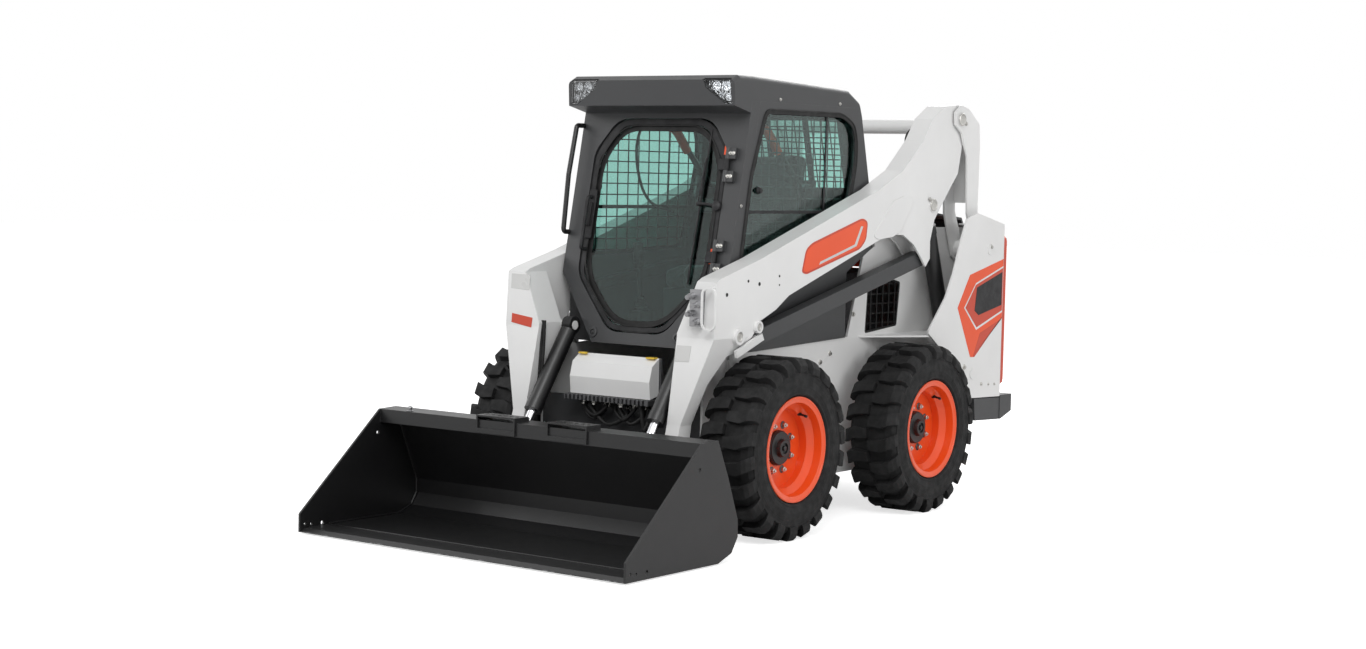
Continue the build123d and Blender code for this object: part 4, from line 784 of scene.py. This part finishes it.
# ---------------------------------------------------------------- inside the cab
sleeves = Piece().tube([(250.0, 150.0, 1634.0), (250.0, 60.0, 1724.0), (250.0, -20.0, 1746.0)], 21.0, 16)
sleeves.done("seat_bar_sleeves", "chassis", "orange", both=True)
folds = [(0, 34.0)]
for k in range(6):
    folds += [(8.0 + 11.0 * k, 30.0 - 2.6 * k), (13.0 + 11.0 * k, 34.0 - 3.2 * k)]
boots = Piece().turned((300.0, -110.0, 902.0), (-0.05, -0.18, 1.0), folds, 24)
boots.done("lever_boots", "chassis", "hose", both=True)
grips = Piece()
for k in range(4):
    z = 1118.0 + 18.0 * k
    grips.turned((290.0 - 0.06 * (z - 1100.0), -146.0 - 0.16 * (z - 1100.0), z), (-0.04, -0.16, 1.0),
                 [(0, 23.0), (3.0, 26.5), (9.0, 26.5), (12.0, 23.0)], 20)
grips.turned((286.0, -176.0, 1196.0), (0, -1, 0.1), [(0, 7.0), (14.0, 7.0), (16.0, 5.0)], 14)
grips.done("lever_grips", "chassis", "plastic", both=True)
console = Piece().slab(at_x(410.0, [(-330.0, 1000.0), (300.0, 1080.0), (300.0, 1140.0), (-330.0, 1050.0)]),
                       (-46.0, 0, 0))
console.slab(at_x(408.0, rect(-150.0, 300.0, 1825.0, 1872.0)), (-80.0, 0, 0))
console.done("cab_side_consoles", "chassis", "plastic", 9.0, True)
cable = Piece()
cable.tube([(-150.0, -300.0, 1790.0), (-205.0, -290.0, 1650.0), (-200.0, -270.0, 1500.0),
            (-150.0, -250.0, 1400.0), (-60.0, -200.0, 1360.0)], 6.5)
cable.tube([(240.0, 380.0, 1240.0), (262.0, 340.0, 1400.0), (250.0, 330.0, 1520.0),
            (215.0, 350.0, 1600.0)], 9.0)
cable.done("cab_cables", "chassis", "hose")


# ---------------------------------------------------------------- seat
# in metres here, as the cloth is; a seam is its axis, place, depth and width
CUSHION_SEAMS = [(0, -0.13, 0.006, 0.008), (0, 0.13, 0.006, 0.008)]
BACK_SEAMS = CUSHION_SEAMS + [(2, 1.42, 0.006, 0.008)]
PAD_INSET, VOXEL = 0.008, 0.0055
PRESSURE, CLOTH_FRAMES = 4.0, 20
BACK_PLATE_Y, BACK_PLATE_LEAN, BACK_FOOT_Z = 0.3675, 0.12, 1.106        # what the backrest lies on


def padding(node, name, seams, cap=0.022):
    """Swells a copy of a solid pad as cloth under pressure, then presses seams into it."""
    lo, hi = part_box(node)
    middle, half = (lo + hi) / 2, (hi - lo) / 2
    mesh = bmesh.new()
    mesh.from_mesh(nodes[node].data)
    bmesh.ops.remove_doubles(mesh, verts=mesh.verts[:], dist=1e-5)
    for v in mesh.verts:
        v.co = middle + Vector((v.co[i] - middle[i]) * (1 - PAD_INSET / half[i]) for i in range(3))
    data = bpy.data.meshes.new(name)
    mesh.to_mesh(data)
    mesh.free()
    obj = bpy.data.objects.new(name, data)
    bpy.context.collection.objects.link(obj)

    def bake():
        shot = obj.evaluated_get(bpy.context.evaluated_depsgraph_get())
        made = bpy.data.meshes.new_from_object(shot)
        obj.modifiers.clear()
        obj.data = made

    remesh = obj.modifiers.new("remesh", "REMESH")
    remesh.mode = "VOXEL"
    remesh.voxel_size = VOXEL
    bake()
    rest = [v.co.copy() for v in obj.data.vertices]
    cloth = obj.modifiers.new("cloth", "CLOTH")
    cloth.settings.use_pressure = True
    cloth.settings.uniform_pressure_force = PRESSURE
    cloth.settings.effector_weights.gravity = 0.0
    cloth.point_cache.frame_start = 1
    cloth.point_cache.frame_end = CLOTH_FRAMES
    for step in range(1, CLOTH_FRAMES + 1):
        bpy.context.scene.frame_set(step)
    bake()
    bpy.context.scene.frame_set(1)
    for v, start in zip(obj.data.vertices, rest):
        move = v.co - start
        if move.length > cap:
            v.co = start + move * (cap / move.length)
        for across, at, depth, width in seams:
            gap = (v.co[across] - at) / width
            v.co = v.co - (v.co - middle).normalized() * depth * math.exp(-gap * gap)
    for poly in obj.data.polygons:
        poly.use_smooth = True
    subdivision = obj.modifiers.new("subdivision", "SUBSURF")
    subdivision.levels = subdivision.render_levels = 1
    obj.data.materials.clear()
    obj.data.materials.append(M["fabric"])
    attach(obj, "chassis")
    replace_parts(obj, node)
    return obj


cushion = padding("seat_cushion", "seat_cushion_pad", CUSHION_SEAMS)
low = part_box("seat_cushion")[0].z
for v in cushion.data.vertices:
    v.co.z = max(v.co.z, low)
backrest = padding("seat_back", "seat_back_pad", BACK_SEAMS)
for v in backrest.data.vertices:
    v.co.y = min(v.co.y, BACK_PLATE_Y + BACK_PLATE_LEAN * (v.co.z - 1.0))
    v.co.z = max(v.co.z, BACK_FOOT_Z)


# ---------------------------------------------------------------- stage
def make_stage():
    """A wide white floor, a little brighter to the camera than to what it lights."""
    mesh = bmesh.new()
    bmesh.ops.create_grid(mesh, x_segments=24, y_segments=24, size=40.0)
    floor = bpy.data.meshes.new("floor")
    mesh.to_mesh(floor)
    mesh.free()
    obj = bpy.data.objects.new("floor", floor)
    bpy.context.collection.objects.link(obj)
    g = Graph("floor_white")
    g.colour((0.93, 0.93, 0.93))
    g.put(rough=0.9)
    path = g.add("ShaderNodeLightPath")
    emit = g.add("ShaderNodeEmission")
    emit.inputs["Strength"].default_value = 0.70
    both = g.add("ShaderNodeAddShader")
    g.link(g.bsdf.outputs[0], both.inputs[0])
    g.link(emit.outputs[0], both.inputs[1])
    pick = g.add("ShaderNodeMixShader")
    g.link(path.outputs["Is Camera Ray"], pick.inputs[0])
    g.link(g.bsdf.outputs[0], pick.inputs[1])
    g.link(both.outputs[0], pick.inputs[2])
    g.link(pick.outputs[0], g.tree.nodes["Material Output"].inputs["Surface"])
    floor.materials.append(g.mat)


def make_world():
    """White surroundings: full strength where seen, mirrored or looked through, dimmer as light."""
    world = bpy.data.worlds.new("studio")
    bpy.context.scene.world = world
    world.use_nodes = True
    tree = world.node_tree
    back = tree.nodes["Background"]
    back.inputs["Color"].default_value = (1.0, 1.0, 1.0, 1.0)
    path = tree.nodes.new("ShaderNodeLightPath")
    total = path.outputs["Is Camera Ray"]
    for name in ("Is Glossy Ray", "Is Transmission Ray"):
        larger = tree.nodes.new("ShaderNodeMath")
        larger.operation = "MAXIMUM"
        tree.links.new(total, larger.inputs[0])
        tree.links.new(path.outputs[name], larger.inputs[1])
        total = larger.outputs[0]
    level = tree.nodes.new("ShaderNodeMapRange")
    level.inputs["To Min"].default_value = 0.42
    level.inputs["To Max"].default_value = 1.0
    tree.links.new(total, level.inputs["Value"])
    tree.links.new(level.outputs["Result"], back.inputs["Strength"])


def make_lamp(name, place, aim, size, power):
    """A rectangular lamp, aimed at a point."""
    data = bpy.data.lights.new(name, "AREA")
    data.shape = "RECTANGLE"
    data.size, data.size_y = size
    data.energy = power
    obj = bpy.data.objects.new(name, data)
    obj.location = place
    obj.rotation_euler = (Vector(aim) - Vector(place)).to_track_quat("-Z", "Y").to_euler()
    bpy.context.collection.objects.link(obj)


def make_camera(place, aim, roll, lens_mm):
    """A camera aimed at a point and rolled about its view."""
    ahead = (aim - place).normalized()
    right = ahead.cross(Vector((0, 0, 1))).normalized()
    up = right.cross(ahead)
    x_axis = right * math.cos(roll) + up * math.sin(roll)
    y_axis = up * math.cos(roll) - right * math.sin(roll)
    data = bpy.data.cameras.new("camera")
    data.lens = lens_mm
    data.sensor_width = 36.0
    data.clip_end = 200.0
    obj = bpy.data.objects.new("camera", data)
    turn = Matrix((x_axis, y_axis, -ahead)).transposed()
    obj.matrix_world = Matrix.Translation(place) @ turn.to_4x4()
    bpy.context.collection.objects.link(obj)
    bpy.context.scene.camera = obj


make_stage()
make_world()
make_lamp("key", (3.5, -6.0, 6.5), (0.0, 0.0, 0.9), (5.0, 3.5), 380.0)
make_lamp("fill", (-7.0, -4.0, 3.6), (0.0, 0.0, 0.9), (4.0, 4.0), 120.0)
make_lamp("side", (7.5, 1.5, 3.2), (0.0, 0.2, 0.9), (4.0, 3.0), 110.0)
make_lamp("back", (-1.0, 7.0, 5.0), (0.0, 0.0, 1.0), (5.0, 3.0), 180.0)
make_camera(Vector((5.8818, -8.1687, 1.5199)), Vector((-0.170, 0.035, 0.843)), math.radians(1.26), 58.9)
bpy.context.scene.view_settings.view_transform = "Standard"
